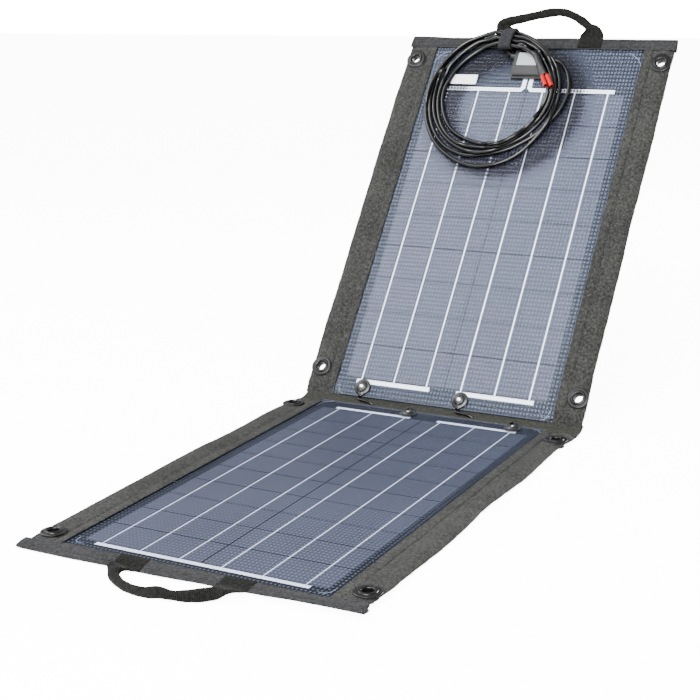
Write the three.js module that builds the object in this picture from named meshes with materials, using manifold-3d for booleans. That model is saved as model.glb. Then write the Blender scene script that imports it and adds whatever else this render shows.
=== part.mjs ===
// Two-half folding solar mat: fabric carrier, two laminated modules, link leads,
// junction box, coiled output cable, carry handles.  Millimetres, +Z up.
// The origin is on the ground under the middle of the lower laminate.
// X runs along the fold; the upper half rises on the +Y side of the fold.
//
// Each half has local axes: x along the fold, v (its y) away from the fold, h (its z) out of
// the laminate's front, whose face is h = 0.  The lower half is turned 180 degrees about Z,
// so its local +x is world -X.  'left' and 'right' in mesh names mean world -X and +X.
import * as THREE from 'three';
import { mergeVertices } from 'three/addons/utils/BufferGeometryUtils.js';
import Module from 'manifold-3d';

const wasm = await Module();
wasm.setup();
const { degToRad, lerp, smoothstep } = THREE.MathUtils;

// ---------------------------------------------------------------- dimensions
const FOLD_ANGLE = degToRad(52);
const MAT_DEPTH = 7;               // laminate front face above the mat's underside
const FABRIC = 1;                  // thickness of the back fabric and fold strip
const AXIS_H = -MAT_DEPTH + FABRIC / 2;   // fold axes, in the middle of the back fabric

const LAMINATE_X = 170.5;          // half width of the visible laminate
const LAMINATE_LENGTH = 602;
const TUCK = 3.5;                  // laminate tucked below the border
const TUCK_CLEARANCE = 0.6;
const CORE_BOTTOM = -5.7;          // underside of the board and the padded border
const ON_SHEET = 0.3;              // base height of parts lying on the front sheet

const CELL_PITCH = 55;             // along v
const CELL_WIDTH = 156;            // along x
const CELL_GAP = 2;
const CELL_BOTTOM = -1.9;
const CELL_TOP = -1.6;
const BUSBARS = [27, 79, 131];     // offsets from the centre line
const BUSBAR_HALF_WIDTH = 1;
const RIBBON_WIDTH = 6.5;
const RIBBON_OFFSET = 4.3;         // ribbon centre line beyond the first or last cell row

const SIDE_X = 215;                // half width of the mat at the side borders
const BORDER_TOP = 1.3;
const HEM_X = 218;                 // half width of the hem band
const HEM_WIDTH = 20.5;
const EYELET_X = 201;
const EYELET_FROM_END = 23;        // far eyelets, back from the laminate's far edge
const MAGNET_X = 202;
const STRIP_GAP = 1;               // fold axis to the fabric on either side of it

const UPPER_HANDLE_X = 13;
const HANDLE_HALF_SPAN = 70.5;
const ROOT_HALF_WIDTH = 19;        // flat webbing at the handle roots
const HANDLE_GAP = 3.4;            // hem edge to handle root
const CABLE_RADIUS = 3.1;

// Places along v that follow from where the laminate starts.
function layOut(spec) {
  const far = spec.near + LAMINATE_LENGTH;
  return {
    ...spec,
    far,
    end: far + HEM_WIDTH,
    axis: spec.near - 3,
    grid: spec.near + 28.5,        // start of the first cell row
  };
}
// near: laminate start from the fold line; eyelet: near eyelets from the grid's start;
// magnet: v of the magnets; roots: x of the webbing pads; rightSign: local x sign of 'right'
const LOWER = layOut({
  tag: 'lower', near: 19.5, rows: 10, eyelet: 12, magnet: 321, roots: [-68, 68], rightSign: -1,
});
const UPPER = layOut({
  tag: 'upper', near: 5, rows: 9, eyelet: 10, magnet: 307,
  roots: [UPPER_HANDLE_X - HANDLE_HALF_SPAN, UPPER_HANDLE_X + HANDLE_HALF_SPAN], rightSign: 1,
});
const FOLD_Y = LOWER.near + LAMINATE_LENGTH / 2;

// ---------------------------------------------------------------- materials
const MATERIALS = {
  fabric: { color: 0x55544f, roughness: 0.9, metalness: 0 },
  board: { color: 0x24304a, roughness: 0.6, metalness: 0 },
  cell: { color: 0x2b3350, roughness: 0.35, metalness: 0 },
  sheet: { color: 0x5f6c88, roughness: 0.25, metalness: 0 },
  ribbon: { color: 0xf2f3f4, roughness: 0.4, metalness: 0.1 },
  plastic: { color: 0x1b1b1b, roughness: 0.55, metalness: 0 },
  magnet: { color: 0xb9bcc0, roughness: 0.35, metalness: 0.9 },
  cable: { color: 0x101010, roughness: 0.45, metalness: 0 },
  strap: { color: 0x3f3f44, roughness: 0.95, metalness: 0 },
  red: { color: 0xd5362f, roughness: 0.45, metalness: 0 },
  window: { color: 0xc9d0cf, roughness: 0.3, metalness: 0 },
  label: { color: 0xf4f6f8, roughness: 0.4, metalness: 0 },
  webbing: { color: 0x2c2a28, roughness: 0.95, metalness: 0 },
};

// Adds a flat-shaded mesh to a group.
function add(parent, name, source, material) {
  const geometry = source.index ? source.toNonIndexed() : source;
  geometry.deleteAttribute('normal');
  geometry.computeVertexNormals();
  const mesh = new THREE.Mesh(geometry, new THREE.MeshStandardMaterial(MATERIALS[material]));
  mesh.name = name;
  parent.add(mesh);
}

// ---------------------------------------------------------------- geometry helpers
const vec = (x, y, z) => new THREE.Vector3(x, y, z);
const repeat = (count, make) => Array.from({ length: count }, (_, i) => make(i));

// Indexed mesh, turned to face outwards by the sign of its volume.
function meshFrom(verts, tris) {
  let volume = 0;
  for (const tri of tris) {
    const [p, q, r] = tri.map(i => vec(...verts[i]));
    volume += p.dot(q.cross(r));
  }
  const geometry = new THREE.BufferGeometry();
  geometry.setAttribute('position', new THREE.Float32BufferAttribute(verts.flat(), 3));
  geometry.setIndex(tris.flatMap(([a, b, c]) => (volume > 0 ? [a, b, c] : [a, c, b])));
  return geometry;
}

// Solid of revolution about Z from [radius, z] points: a closed loop clear of the axis,
// or an open line with both ends on it.
function lathe(profile, segments, closed = false) {
  const verts = [];
  const tris = [];
  const rows = profile.map(([radius, z]) => {
    const first = verts.length;
    const count = radius < 1e-9 ? 1 : segments;
    for (let i = 0; i < count; i++) {
      const angle = 2 * Math.PI * i / segments;
      verts.push([radius * Math.cos(angle), radius * Math.sin(angle), z]);
    }
    return repeat(count, i => first + i);
  });
  for (let k = 0; k < (closed ? rows.length : rows.length - 1); k++) {
    const row = rows[k];
    const next = rows[(k + 1) % rows.length];
    for (let i = 0; i < segments; i++) {
      const j = (i + 1) % segments;
      if (row.length === 1) tris.push([row[0], next[i], next[j]]);
      else if (next.length === 1) tris.push([row[i], next[0], row[j]]);
      else tris.push([row[i], next[i], next[j]], [row[i], next[j], row[j]]);
    }
  }
  return meshFrom(verts, tris);
}

// Skin through rings of equal point count, closed by a fan at each end.
function loft(rings) {
  const count = rings[0].length;
  const verts = rings.flat().map(p => p.toArray());
  const tris = [];
  for (let k = 0; k < rings.length - 1; k++) {
    for (let i = 0; i < count; i++) {
      const a = k * count + i;
      const b = k * count + (i + 1) % count;
      tris.push([a, a + count, b + count], [a, b + count, b]);
    }
  }
  for (const k of [0, rings.length - 1]) {
    const middle = vec(0, 0, 0);
    rings[k].forEach(p => middle.add(p));
    const centre = verts.push(middle.multiplyScalar(1 / count).toArray()) - 1;
    for (let i = 0; i < count; i++) {
      const a = k * count + i;
      const b = k * count + (i + 1) % count;
      tris.push(k ? [centre, b, a] : [centre, a, b]);
    }
  }
  return meshFrom(verts, tris);
}

// Round tube through points.
function tube(points, radius, sides) {
  return loft(points.map((p, i) => {
    const after = points[Math.min(i + 1, points.length - 1)];
    const along = after.clone().sub(points[Math.max(i - 1, 0)]).normalize();
    const across = along.clone().cross(vec(0, 0, 1)).normalize();
    const up = across.clone().cross(along).normalize();
    return repeat(sides, k => {
      const angle = 2 * Math.PI * k / sides;
      return p.clone()
        .addScaledVector(across, radius * Math.cos(angle))
        .addScaledVector(up, radius * Math.sin(angle));
    });
  }));
}

function polygon(points) {
  const shape = new THREE.Shape();
  shape.moveTo(...points[0]);
  for (const point of points.slice(1)) shape.lineTo(...point);
  shape.closePath();
  return shape;
}
const rect = (x0, y0, x1, y1) => polygon([[x0, y0], [x1, y0], [x1, y1], [x0, y1]]);

function roundRect(x0, y0, x1, y1, r) {
  const shape = new THREE.Shape();
  shape.moveTo(x0 + r, y0);
  shape.lineTo(x1 - r, y0);
  shape.absarc(x1 - r, y0 + r, r, -Math.PI / 2, 0, false);
  shape.lineTo(x1, y1 - r);
  shape.absarc(x1 - r, y1 - r, r, 0, Math.PI / 2, false);
  shape.lineTo(x0 + r, y1);
  shape.absarc(x0 + r, y1 - r, r, Math.PI / 2, Math.PI, false);
  shape.lineTo(x0, y0 + r);
  shape.absarc(x0 + r, y0 + r, r, Math.PI, 1.5 * Math.PI, false);
  return shape;
}

function circlePath(x, y, radius) {
  return new THREE.Path().absarc(x, y, radius, 0, 2 * Math.PI, true);
}

// Shape in (x, v) extruded from one height to another.
function plate(shape, bottom, top, curveSegments = 6) {
  const options = { depth: top - bottom, bevelEnabled: false, curveSegments };
  return new THREE.ExtrudeGeometry(shape, options).translate(0, 0, bottom);
}

// Profile in (v, h) extruded along x.
function bar(profile, x0, x1) {
  const toX = new THREE.Matrix4().set(0, 0, 1, 0, 1, 0, 0, 0, 0, 1, 0, 0, 0, 0, 0, 1);
  return plate(profile, x0, x1).applyMatrix4(toX);
}

// Geometry to manifold, with vertices merged and collapsed triangles dropped.
function solid(source) {
  const bare = source.clone();
  bare.deleteAttribute('normal');
  bare.deleteAttribute('uv');
  const merged = mergeVertices(bare, 1e-4);
  const index = merged.index.array;
  const tris = [];
  for (let i = 0; i < index.length; i += 3) {
    const [a, b, c] = index.slice(i, i + 3);
    if (a !== b && b !== c && a !== c) tris.push(a, b, c);
  }
  return new wasm.Manifold(new wasm.Mesh({
    numProp: 3,
    vertProperties: new Float32Array(merged.attributes.position.array),
    triVerts: new Uint32Array(tris),
  }));
}

function geometryOf(manifold) {
  const mesh = manifold.getMesh();
  const geometry = new THREE.BufferGeometry();
  const positions = new Float32Array(mesh.numVert * 3);
  for (let i = 0; i < mesh.numVert; i++) {
    for (let k = 0; k < 3; k++) {
      positions[3 * i + k] = mesh.vertProperties[i * mesh.numProp + k];
    }
  }
  geometry.setAttribute('position', new THREE.BufferAttribute(positions, 3));
  geometry.setIndex(new THREE.BufferAttribute(new Uint32Array(mesh.triVerts), 1));
  return geometry;
}
const unite = (...parts) => geometryOf(parts.map(solid).reduce((a, b) => a.add(b)));

// ---------------------------------------------------------------- parts of one half
// [radius, h] profiles
const EYELET_PROFILE = [
  [5.9, -5.8], [7.2, -5.8], [7.2, 1.6], [15.75, 1.6], [15.6, 2.3],
  [11.2, 3.1], [10, 4.3], [8.2, 4.5], [6.6, 3.9], [5.9, 3],
];
const WASHER_PROFILE = [[6.2, -MAT_DEPTH], [12, -MAT_DEPTH], [12, -6.4], [11.6, -6.1], [6.2, -6.1]];
const MAGNET_PROFILE = [[0, -5.6], [8, -5.6], [8, -3.3], [0, -3.3]];

// [name, x, v] of the four eyelets, named in world terms
function eyeletPlaces(spec) {
  const rows = [['near', spec.grid + spec.eyelet], ['far', spec.far - EYELET_FROM_END]];
  return rows.flatMap(([row, v]) =>
    [-EYELET_X, EYELET_X].map(x => [`${row}_${sideName(spec, x)}`, x, v]));
}
const sideName = (spec, x) => (x * spec.rightSign > 0 ? 'right' : 'left');

// Flush with the washers and the hem band's back flap.
function backFabric(spec) {
  const shape = rect(-SIDE_X, spec.axis + STRIP_GAP, SIDE_X, spec.far + 0.3);
  for (const [, x, v] of eyeletPlaces(spec)) shape.holes.push(circlePath(x, v, 12.4));
  return plate(shape, -MAT_DEPTH, -MAT_DEPTH + FABRIC, 12);
}

// Padded side and end border: thick outside the laminate, thin lip over its edge.
function sideBorder(spec) {
  const start = spec.axis + 1.5;
  const uShape = (innerX, innerEnd, outerX, outerEnd) => polygon([
    [-outerX, start], [-innerX, start], [-innerX, innerEnd], [innerX, innerEnd],
    [innerX, start], [outerX, start], [outerX, outerEnd], [-outerX, outerEnd],
  ]);
  const pocket = TUCK + TUCK_CLEARANCE;
  const lipEdge = pocket + 2;      // overlaps the thick part
  const { far } = spec;
  const base = uShape(LAMINATE_X + pocket, far + pocket, SIDE_X, spec.end - 1.2);
  const lip = uShape(LAMINATE_X, far, LAMINATE_X + lipEdge, far + lipEdge);
  let border = solid(plate(base, CORE_BOTTOM, BORDER_TOP))
    .add(solid(plate(lip, ON_SHEET, BORDER_TOP)));
  const drill = (x, v, radius, top) => {
    const outline = new THREE.Shape(circlePath(x, v, radius).getPoints(12));
    border = border.subtract(solid(plate(outline, -8, top)));
  };
  for (const [, x, v] of eyeletPlaces(spec)) drill(x, v, 7.6, 4);
  for (const x of [-MAGNET_X, MAGNET_X]) drill(x, spec.magnet, 8.4, -3);
  return geometryOf(border);
}

// Band folded round the far edge, with the doubled webbing roots of the handle.
function hemBand({ far, end, roots }) {
  const start = far + 0.6;
  const inside = end - 0.9;
  const profile = polygon([
    [start, -MAT_DEPTH], [end, -MAT_DEPTH], [end, 2.4], [start, 2.4],
    [start, 1.6], [inside, 1.6], [inside, -6], [start, -6],
  ]);
  const pads = roots.map(x =>
    plate(rect(x - ROOT_HALF_WIDTH, far + 0.9, x + ROOT_HALF_WIDTH, end - 0.2), 2, 4));
  return unite(bar(profile, -HEM_X, HEM_X), ...pads);
}

function backingBoard({ near, far }) {
  const tuck = TUCK - TUCK_CLEARANCE;
  const x = LAMINATE_X + tuck;
  return plate(roundRect(-x, near + 0.6, x, far + tuck, 17), CORE_BOTTOM, -2.2);
}

function frontSheet({ near, far }) {
  return plate(rect(-LAMINATE_X - TUCK, near, LAMINATE_X + TUCK, far + TUCK), -1.3, 0);
}

// One string of cells on the +x side, joined across the gaps by three busbars.
function cellString({ grid, rows }) {
  const x0 = CELL_GAP / 2;
  const bars = BUSBARS.flatMap(x => [x - BUSBAR_HALF_WIDTH, x + BUSBAR_HALF_WIDTH]);
  const xs = [x0, ...bars, x0 + CELL_WIDTH];
  const ys = repeat(rows, k => [
    grid + k * CELL_PITCH + CELL_GAP / 2,
    grid + (k + 1) * CELL_PITCH - CELL_GAP / 2,
  ]).flat();
  // Even rows of the lattice are cells; odd rows are gaps, filled only at the busbars.
  const isFull = (i, j) => i >= 0 && j >= 0 && i < xs.length - 1 && j < ys.length - 1
    && (j % 2 === 0 || i % 2 === 1);
  const verts = [CELL_BOTTOM, CELL_TOP].flatMap(h => ys.flatMap(y => xs.map(x => [x, y, h])));
  const tris = [];
  const vertex = ([i, j], layer) => (layer * ys.length + j) * xs.length + i;
  const quad = (a, b, c, d) => tris.push([a, b, c], [a, c, d]);
  for (let j = 0; j < ys.length - 1; j++) {
    for (let i = 0; i < xs.length - 1; i++) {
      if (!isFull(i, j)) continue;
      const corners = [[i, j], [i + 1, j], [i + 1, j + 1], [i, j + 1]];
      const [a, b, c, d] = corners;
      quad(...corners.map(corner => vertex(corner, 1)));
      quad(...[a, d, c, b].map(corner => vertex(corner, 0)));
      // a wall wherever the neighbour across an edge is empty
      const edges = [[a, b, 0, -1], [b, c, 1, 0], [c, d, 0, 1], [d, a, -1, 0]];
      for (const [from, to, stepI, stepJ] of edges) {
        if (isFull(i + stepI, j + stepJ)) continue;
        quad(vertex(from, 0), vertex(to, 0), vertex(to, 1), vertex(from, 1));
      }
    }
  }
  return meshFrom(verts, tris);
}

function buildHalf(group, spec) {
  const { tag, grid, rows } = spec;
  add(group, `${tag}_back_fabric`, backFabric(spec), 'fabric');
  add(group, `${tag}_side_border`, sideBorder(spec), 'fabric');
  add(group, `${tag}_hem_band`, hemBand(spec), 'fabric');
  add(group, `${tag}_backing_board`, backingBoard(spec), 'board');
  for (const sign of [-1, 1]) {
    const cells = cellString(spec);
    // the -x string is the +x one turned half round about the middle of the grid
    if (sign < 0) cells.rotateZ(Math.PI).translate(0, 2 * grid + rows * CELL_PITCH, 0);
    add(group, `${tag}_cell_string_${sideName(spec, sign)}`, cells, 'cell');
  }
  add(group, `${tag}_front_sheet`, frontSheet(spec), 'sheet');
  for (const [place, x, v] of eyeletPlaces(spec)) {
    const eyelet = lathe(EYELET_PROFILE, 24, true).translate(x, v, 0);
    const washer = lathe(WASHER_PROFILE, 24, true).translate(x, v, 0);
    add(group, `${tag}_eyelet_${place}`, eyelet, 'plastic');
    add(group, `${tag}_eyelet_washer_${place}`, washer, 'plastic');
  }
  for (const x of [-MAGNET_X, MAGNET_X]) {
    const magnet = lathe(MAGNET_PROFILE, 20).translate(x, spec.magnet, 0);
    add(group, `${tag}_magnet_${sideName(spec, x)}`, magnet, 'magnet');
  }
}

// ---------------------------------------------------------------- bus ribbons
// They lie in the same layer as the cells.
function straightRibbon(x0, x1, v) {
  const shape = rect(x0, v - RIBBON_WIDTH / 2, x1, v + RIBBON_WIDTH / 2);
  return plate(shape, CELL_BOTTOM, CELL_TOP);
}

function straightRibbons() {
  const lowerNear = LOWER.grid - RIBBON_OFFSET;
  const lowerFar = LOWER.grid + LOWER.rows * CELL_PITCH + RIBBON_OFFSET;
  const upperNear = UPPER.grid - RIBBON_OFFSET;
  add(lower, 'lower_bus_ribbon_near_left', straightRibbon(21, 138, lowerNear), 'ribbon');
  add(lower, 'lower_bus_ribbon_near_right', straightRibbon(-138, -21, lowerNear), 'ribbon');
  add(lower, 'lower_bus_ribbon_far', straightRibbon(-138, 138, lowerFar), 'ribbon');
  add(upper, 'upper_bus_ribbon_near_left', straightRibbon(-138.5, -21, upperNear), 'ribbon');
  add(upper, 'upper_bus_ribbon_near_right', straightRibbon(21, 138.5, upperNear), 'ribbon');
}

// Upper far ribbons: each turns away from the fold beside the middle.
function turnedRibbons() {
  const middle = UPPER.grid + UPPER.rows * CELL_PITCH + 5.5;
  const v0 = middle - RIBBON_WIDTH / 2;
  const v1 = middle + RIBBON_WIDTH / 2;
  const leftEnd = -140;
  const rightEnd = 140.5;
  const mirrorX = -1.5;
  const tailX = -3.35;
  const tailOuterX = tailX - RIBBON_WIDTH;
  const tailV = 556;
  const left = [
    [leftEnd, v0], [-8.6, v0], [tailX, v1 - 0.6], [tailX, tailV],
    [tailOuterX, tailV], [tailOuterX, v1 + 1.6], [-11.4, v1], [leftEnd, v1],
  ];
  const right = left.map(([x, v]) => [x === leftEnd ? rightEnd : 2 * mirrorX - x, v]).reverse();
  for (const [side, outline] of [['left', left], ['right', right]]) {
    const ribbon = plate(polygon(outline), CELL_BOTTOM, CELL_TOP);
    add(upper, `upper_bus_ribbon_far_${side}`, ribbon, 'ribbon');
  }
}

// ---------------------------------------------------------------- terminal covers at the fold
// Low dome with a tapered cable outlet reaching towards the fold.
function linkBoss(x, v, reach) {
  const dome = lathe([
    [0, ON_SHEET], [12.5, ON_SHEET], [12.5, 1.1], [11.4, 1.9],
    [8.2, 2.6], [7, 4.6], [4.8, 5.7], [0, 6],
  ], 24);
  const ring = (along, halfWidth, height) => repeat(10, k => {
    const angle = 2 * Math.PI * k / 10;
    const h = 0.35 + height / 2 * (1 + Math.sin(angle));
    return vec(halfWidth * Math.cos(angle), along, h);
  });
  const neck = loft([ring(-3, 4.2, 4.6), ring(-9, 4, 4.4), ring(-reach, 2.6, 3.6)]);
  return unite(dome, neck).translate(x, v, 0);
}

function linkBosses() {
  add(upper, 'upper_link_boss_left', linkBoss(-123.7, 19.3, 14.2), 'plastic');
  add(upper, 'upper_link_boss_right', linkBoss(31.6, 18.5, 13.4), 'plastic');
  add(lower, 'lower_link_boss_left', linkBoss(29.3, 33.5, 13.5), 'plastic');
  add(lower, 'lower_link_boss_right', linkBoss(-129.2, 34.5, 14.5), 'plastic');
}

// ---------------------------------------------------------------- junction box
function junctionBox() {
  const x = -5;                    // middle of the box
  const base = plate(roundRect(x - 27, 552, x + 27, 600, 4), ON_SHEET, 3.3, 4);
  // (v, h): the lid slopes down towards the fold
  const lidProfile = polygon([
    [555.5, 3.6], [597.5, 3.6], [597.5, 10.5], [596, 12], [568, 12], [557.2, 7.6], [555.5, 6],
  ]);
  const pane = plate(roundRect(x - 17, 569.5, x + 17, 592, 1.5), 12.3, 12.7, 3);
  const label = plate(rect(-128.5, 541, -86.5, 558), ON_SHEET, 0.6);
  const lead = new THREE.CatmullRomCurve3([
    vec(-32.4, 588, 7.2), vec(-37, 590, 8), vec(-43, 596, 9.5),
    vec(-47.5, 605, 10.2), vec(-50, 613, 10.4),
  ]);
  add(upper, 'junction_box_base', base, 'plastic');
  add(upper, 'junction_box_lid', bar(lidProfile, x - 23, x + 23), 'plastic');
  add(upper, 'junction_box_window', pane, 'window');
  add(upper, 'blank_label', label, 'label');
  add(upper, 'cable_lead', tube(lead.getSpacedPoints(8), CABLE_RADIUS, 10), 'cable');
}

// ---------------------------------------------------------------- coil
// Built in its own tilted plane, whose far side rides over the junction box:
// y along the plane away from the fold, z out of it.
const COIL_TILT = degToRad(4.4);
const COIL_START_V = 393;          // tilt axis on the upper half
const COIL_START_H = 0.6;
const COIL_X = -49;
const COIL_Y = (514 - COIL_START_V) / Math.cos(COIL_TILT);   // centre, at v = 514
const COIL_RADIUS = 107.7;         // outermost turn
const COIL_PITCH = 6.9;            // radius lost per turn
const COIL_SWEEP = 4 * 360;        // degrees before the end lies across the turns
const START_ANGLE = 100;
const END_ANGLE = 34;
const END_RADIUS = 86;
const END_Z = 2 * CABLE_RADIUS + 5;   // height of the strand lying on the first layer

function coilPlace(degrees, radius, z) {
  const angle = degToRad(degrees);
  return vec(COIL_X + radius * Math.cos(angle), COIL_Y + radius * Math.sin(angle), z);
}

// Clockwise spiral inwards; its end climbs onto the turns and moves back out.
function cableCoil() {
  const total = COIL_SWEEP + START_ANGLE - END_ANGLE;
  const steps = Math.round(total / 9);
  const points = repeat(steps + 1, i => {
    const turned = total * i / steps;
    const rise = smoothstep(turned, COIL_SWEEP - 85, COIL_SWEEP - 30);
    const shift = smoothstep(turned, COIL_SWEEP - 40, COIL_SWEEP - 2);
    const radius = lerp(COIL_RADIUS - COIL_PITCH * turned / 360, END_RADIUS, shift);
    return coilPlace(START_ANGLE - turned, radius, lerp(CABLE_RADIUS, END_Z, rise));
  });
  return tube(points, CABLE_RADIUS, 8);
}

// Rectangular loop round the turns, with a hanging tail.
function coilStrap() {
  const x = -55;
  const thickness = 1.4;
  const y0 = COIL_Y + 80.6;
  const y1 = COIL_Y + 111.5;
  const z0 = -0.5;
  const z1 = 14.9;
  const loop = rect(y0 - thickness, z0 - thickness, y1 + thickness, z1 + thickness);
  loop.holes.push(rect(y0, z0, y1, z1));
  const tail = rect(y1 - 4, -12.6, y1 + thickness, -1.2);
  return unite(bar(loop, x - 11, x + 11), bar(tail, x - 7, x + 7));
}

// Boot and two terminal sleeves, laid along the direction of the cable end.
function cableEnd() {
  const angle = degToRad(END_ANGLE);
  const along = vec(Math.sin(angle), -Math.cos(angle), 0);
  const across = vec(-along.y, along.x, 0);
  const lay = (geometry, distance, offset) => {
    const place = coilPlace(END_ANGLE, END_RADIUS, END_Z)
      .addScaledVector(along, distance)
      .addScaledVector(across, offset);
    const basis = new THREE.Matrix4().makeBasis(across, vec(0, 0, 1), along);
    return geometry.applyMatrix4(basis.setPosition(place));
  };
  const boot = [[0, 0.3], [3.6, 0.3], [4.4, 4], [4.6, 12], [4.4, 14], [0, 14]];
  const sleeve = [[0, 0], [3.6, 0], [4.2, 1.2], [4.2, 15], [2.6, 15], [2.6, 6], [0, 6]];
  add(coil, 'heat_shrink_boot', lay(lathe(boot, 16), 0, 0), 'cable');
  add(coil, 'terminal_sleeve_a', lay(lathe(sleeve, 16), 14.4, -4.5), 'red');
  add(coil, 'terminal_sleeve_b', lay(lathe(sleeve, 16), 15.6, 4.5), 'red');
}

// ---------------------------------------------------------------- handles
// First half of the arch: [x from the centre, v from the root, share of the crown height]
const HANDLE_ARCH = [
  [-HANDLE_HALF_SPAN, 0, 0], [-70, 8, 0.15], [-67, 18, 0.5], [-56, 29, 1], [-34, 38.5, 1],
];

// Webbing handle: wide flat roots, folded into a round grip along the arch.
function handle(centreX, rootV, crownH) {
  const mirrored = HANDLE_ARCH.map(([x, v, share]) => [-x, v, share]).reverse();
  const points = [...HANDLE_ARCH, [0, 42, 1], ...mirrored].map(([x, v, share]) =>
    vec(centreX + x, rootV + v, 2 + (crownH - 2) * share));
  const curve = new THREE.CatmullRomCurve3(points, false, 'centripetal');
  const length = curve.getLength();
  const steps = 30;
  // rounded-box section: a superellipse with this exponent
  const soften = value => Math.sign(value) * Math.abs(value) ** 0.72;
  return loft(repeat(steps + 1, i => {
    const u = i / steps;
    const point = curve.getPointAt(u);
    const along = curve.getTangentAt(u);
    const fromRoot = Math.min(u, 1 - u) * length;
    const halfWidth = lerp(ROOT_HALF_WIDTH, 6.2, smoothstep(fromRoot, 6, 30));
    const halfHeight = lerp(1.5, 5.3, smoothstep(fromRoot, 10, 32));
    const across = vec(along.y, -along.x, 0).normalize();
    const up = across.clone().cross(along).normalize();
    if (up.z < 0) up.negate();
    return repeat(12, k => {
      const angle = 2 * Math.PI * (k + 0.5) / 12;
      return point.clone()
        .addScaledVector(across, halfWidth * soften(Math.cos(angle)))
        .addScaledVector(up, halfHeight * soften(Math.sin(angle)));
    });
  }));
}

// ---------------------------------------------------------------- fold
// Strip between the two fold axes, with the two link leads in the valley.
function foldSpine() {
  const cos = Math.cos(FOLD_ANGLE);
  const sin = Math.sin(FOLD_ANGLE);
  // from the lower axis to the upper one
  const runY = UPPER.axis * cos - AXIS_H * sin + LOWER.axis;
  const riseZ = UPPER.axis * sin + AXIS_H * cos - AXIS_H;
  const width = Math.hypot(runY, riseZ);
  const spine = new THREE.Group();
  spine.position.set(0, FOLD_Y - LOWER.axis, MAT_DEPTH + AXIS_H);
  spine.rotation.x = Math.atan2(riseZ, runY);
  const strip = rect(-SIDE_X, STRIP_GAP, SIDE_X, width - STRIP_GAP);
  add(spine, 'fold_strip', plate(strip, -FABRIC / 2, FABRIC / 2), 'fabric');
  for (const [side, x0, x1] of [['left', -109, -44], ['right', 46, 115]]) {
    const points = repeat(5, i => vec(x0 + (x1 - x0) * i / 4, width / 2, 2.8));
    add(spine, `link_cable_${side}`, tube(points, 2, 10), 'cable');
  }
  return spine;
}

// ---------------------------------------------------------------- assembly
const kit = new THREE.Group();
const lower = new THREE.Group();
lower.rotation.z = Math.PI;
lower.position.set(0, FOLD_Y, MAT_DEPTH);
const upper = new THREE.Group();
upper.rotation.x = FOLD_ANGLE;
upper.position.set(0, FOLD_Y, MAT_DEPTH);
kit.add(lower, upper);

buildHalf(lower, LOWER);
buildHalf(upper, UPPER);
straightRibbons();
turnedRibbons();
linkBosses();
junctionBox();

const coil = new THREE.Group();
coil.position.set(0, COIL_START_V, COIL_START_H);
coil.rotation.x = COIL_TILT;
upper.add(coil);
add(coil, 'cable_coil', cableCoil(), 'cable');
add(coil, 'coil_strap', coilStrap(), 'strap');
cableEnd();

add(lower, 'lower_handle', handle(0, LOWER.end + HANDLE_GAP, -1.3), 'webbing');
add(upper, 'upper_handle', handle(UPPER_HANDLE_X, UPPER.end + HANDLE_GAP, 3), 'webbing');
kit.add(foldSpine());

export default kit;
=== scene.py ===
"""A folding solar panel standing open on a pale floor, with its cable coiled on the upper half.

World: metres, +z up, the fold line runs along x.  The lower half lies flat and runs from the fold
towards -y, the front; the upper half rises from the fold towards +y.  Each half is drawn in its
own axes in millimetres: x across (left is -x), y away from the fold, z out of the cell face.
"""
import bpy
import bmesh
import math
import re
import numpy as np
from mathutils import Matrix, Vector


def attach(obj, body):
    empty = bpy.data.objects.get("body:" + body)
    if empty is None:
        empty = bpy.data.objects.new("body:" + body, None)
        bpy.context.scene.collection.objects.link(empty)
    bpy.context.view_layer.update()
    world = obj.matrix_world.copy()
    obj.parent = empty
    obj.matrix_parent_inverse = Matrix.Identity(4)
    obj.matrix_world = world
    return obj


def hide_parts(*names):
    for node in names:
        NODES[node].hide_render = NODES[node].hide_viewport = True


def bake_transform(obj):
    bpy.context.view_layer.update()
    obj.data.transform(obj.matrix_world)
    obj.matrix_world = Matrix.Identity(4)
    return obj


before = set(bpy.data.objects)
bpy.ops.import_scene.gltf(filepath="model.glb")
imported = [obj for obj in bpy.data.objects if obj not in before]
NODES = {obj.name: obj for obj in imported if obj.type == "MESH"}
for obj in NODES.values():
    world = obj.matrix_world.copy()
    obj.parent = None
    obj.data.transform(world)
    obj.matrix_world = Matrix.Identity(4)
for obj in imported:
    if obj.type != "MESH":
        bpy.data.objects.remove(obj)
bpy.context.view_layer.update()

# ------------------------------------------------------------------ layout, millimetres
TILT = math.radians(52.0)    # of the upper half
COS, SIN = math.cos(TILT), math.sin(TILT)
FACE_Z = 7.0                 # world height of the lower half's face
FOLD_Y = 320.5               # world y of the fold line
HALF_WIDTH = 170.5           # of the laminate
LENGTH = 602.0               # of the laminate
HEM = 20.5                   # width of the hem band beyond the laminate
UNDERSIDE = -6.95            # z of the carrier's lowest cloth
EYELET_X = 201.0
EYELET_HOLE = 7.0            # radius
STRAP_X = -46.0
SIDES = ((-1, "left"), (1, "right"))
STATIONS = ("near", "far")   # the eyelets near to the fold and far from it

# near: y where the laminate starts; eyelets, magnet: their y; roots: x of the handle's box
# stitching; ends: x of the webbing's ends; grip_x: x of the handle's bending line
HALVES = {
    "upper": dict(near=5.0, rows=9, eyelets=(43.5, 584.0), magnet=307.0,
                  grip_x=13.0, roots=(-57.5, 83.5), ends=(-57.5, 83.5)),
    "lower": dict(near=19.5, rows=10, eyelets=(60.0, 598.5), magnet=321.0,
                  grip_x=0.0, roots=(-68.0, 68.0), ends=(-67.5, 68.0)),
}
for spec in HALVES.values():
    spec["cloth"] = spec["near"] - 3.0     # y where the carrier cloth starts
    spec["grid"] = spec["near"] + 28.5     # y where the first row of cells starts
    spec["far"] = spec["near"] + LENGTH
    spec["end"] = spec["far"] + HEM

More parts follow.
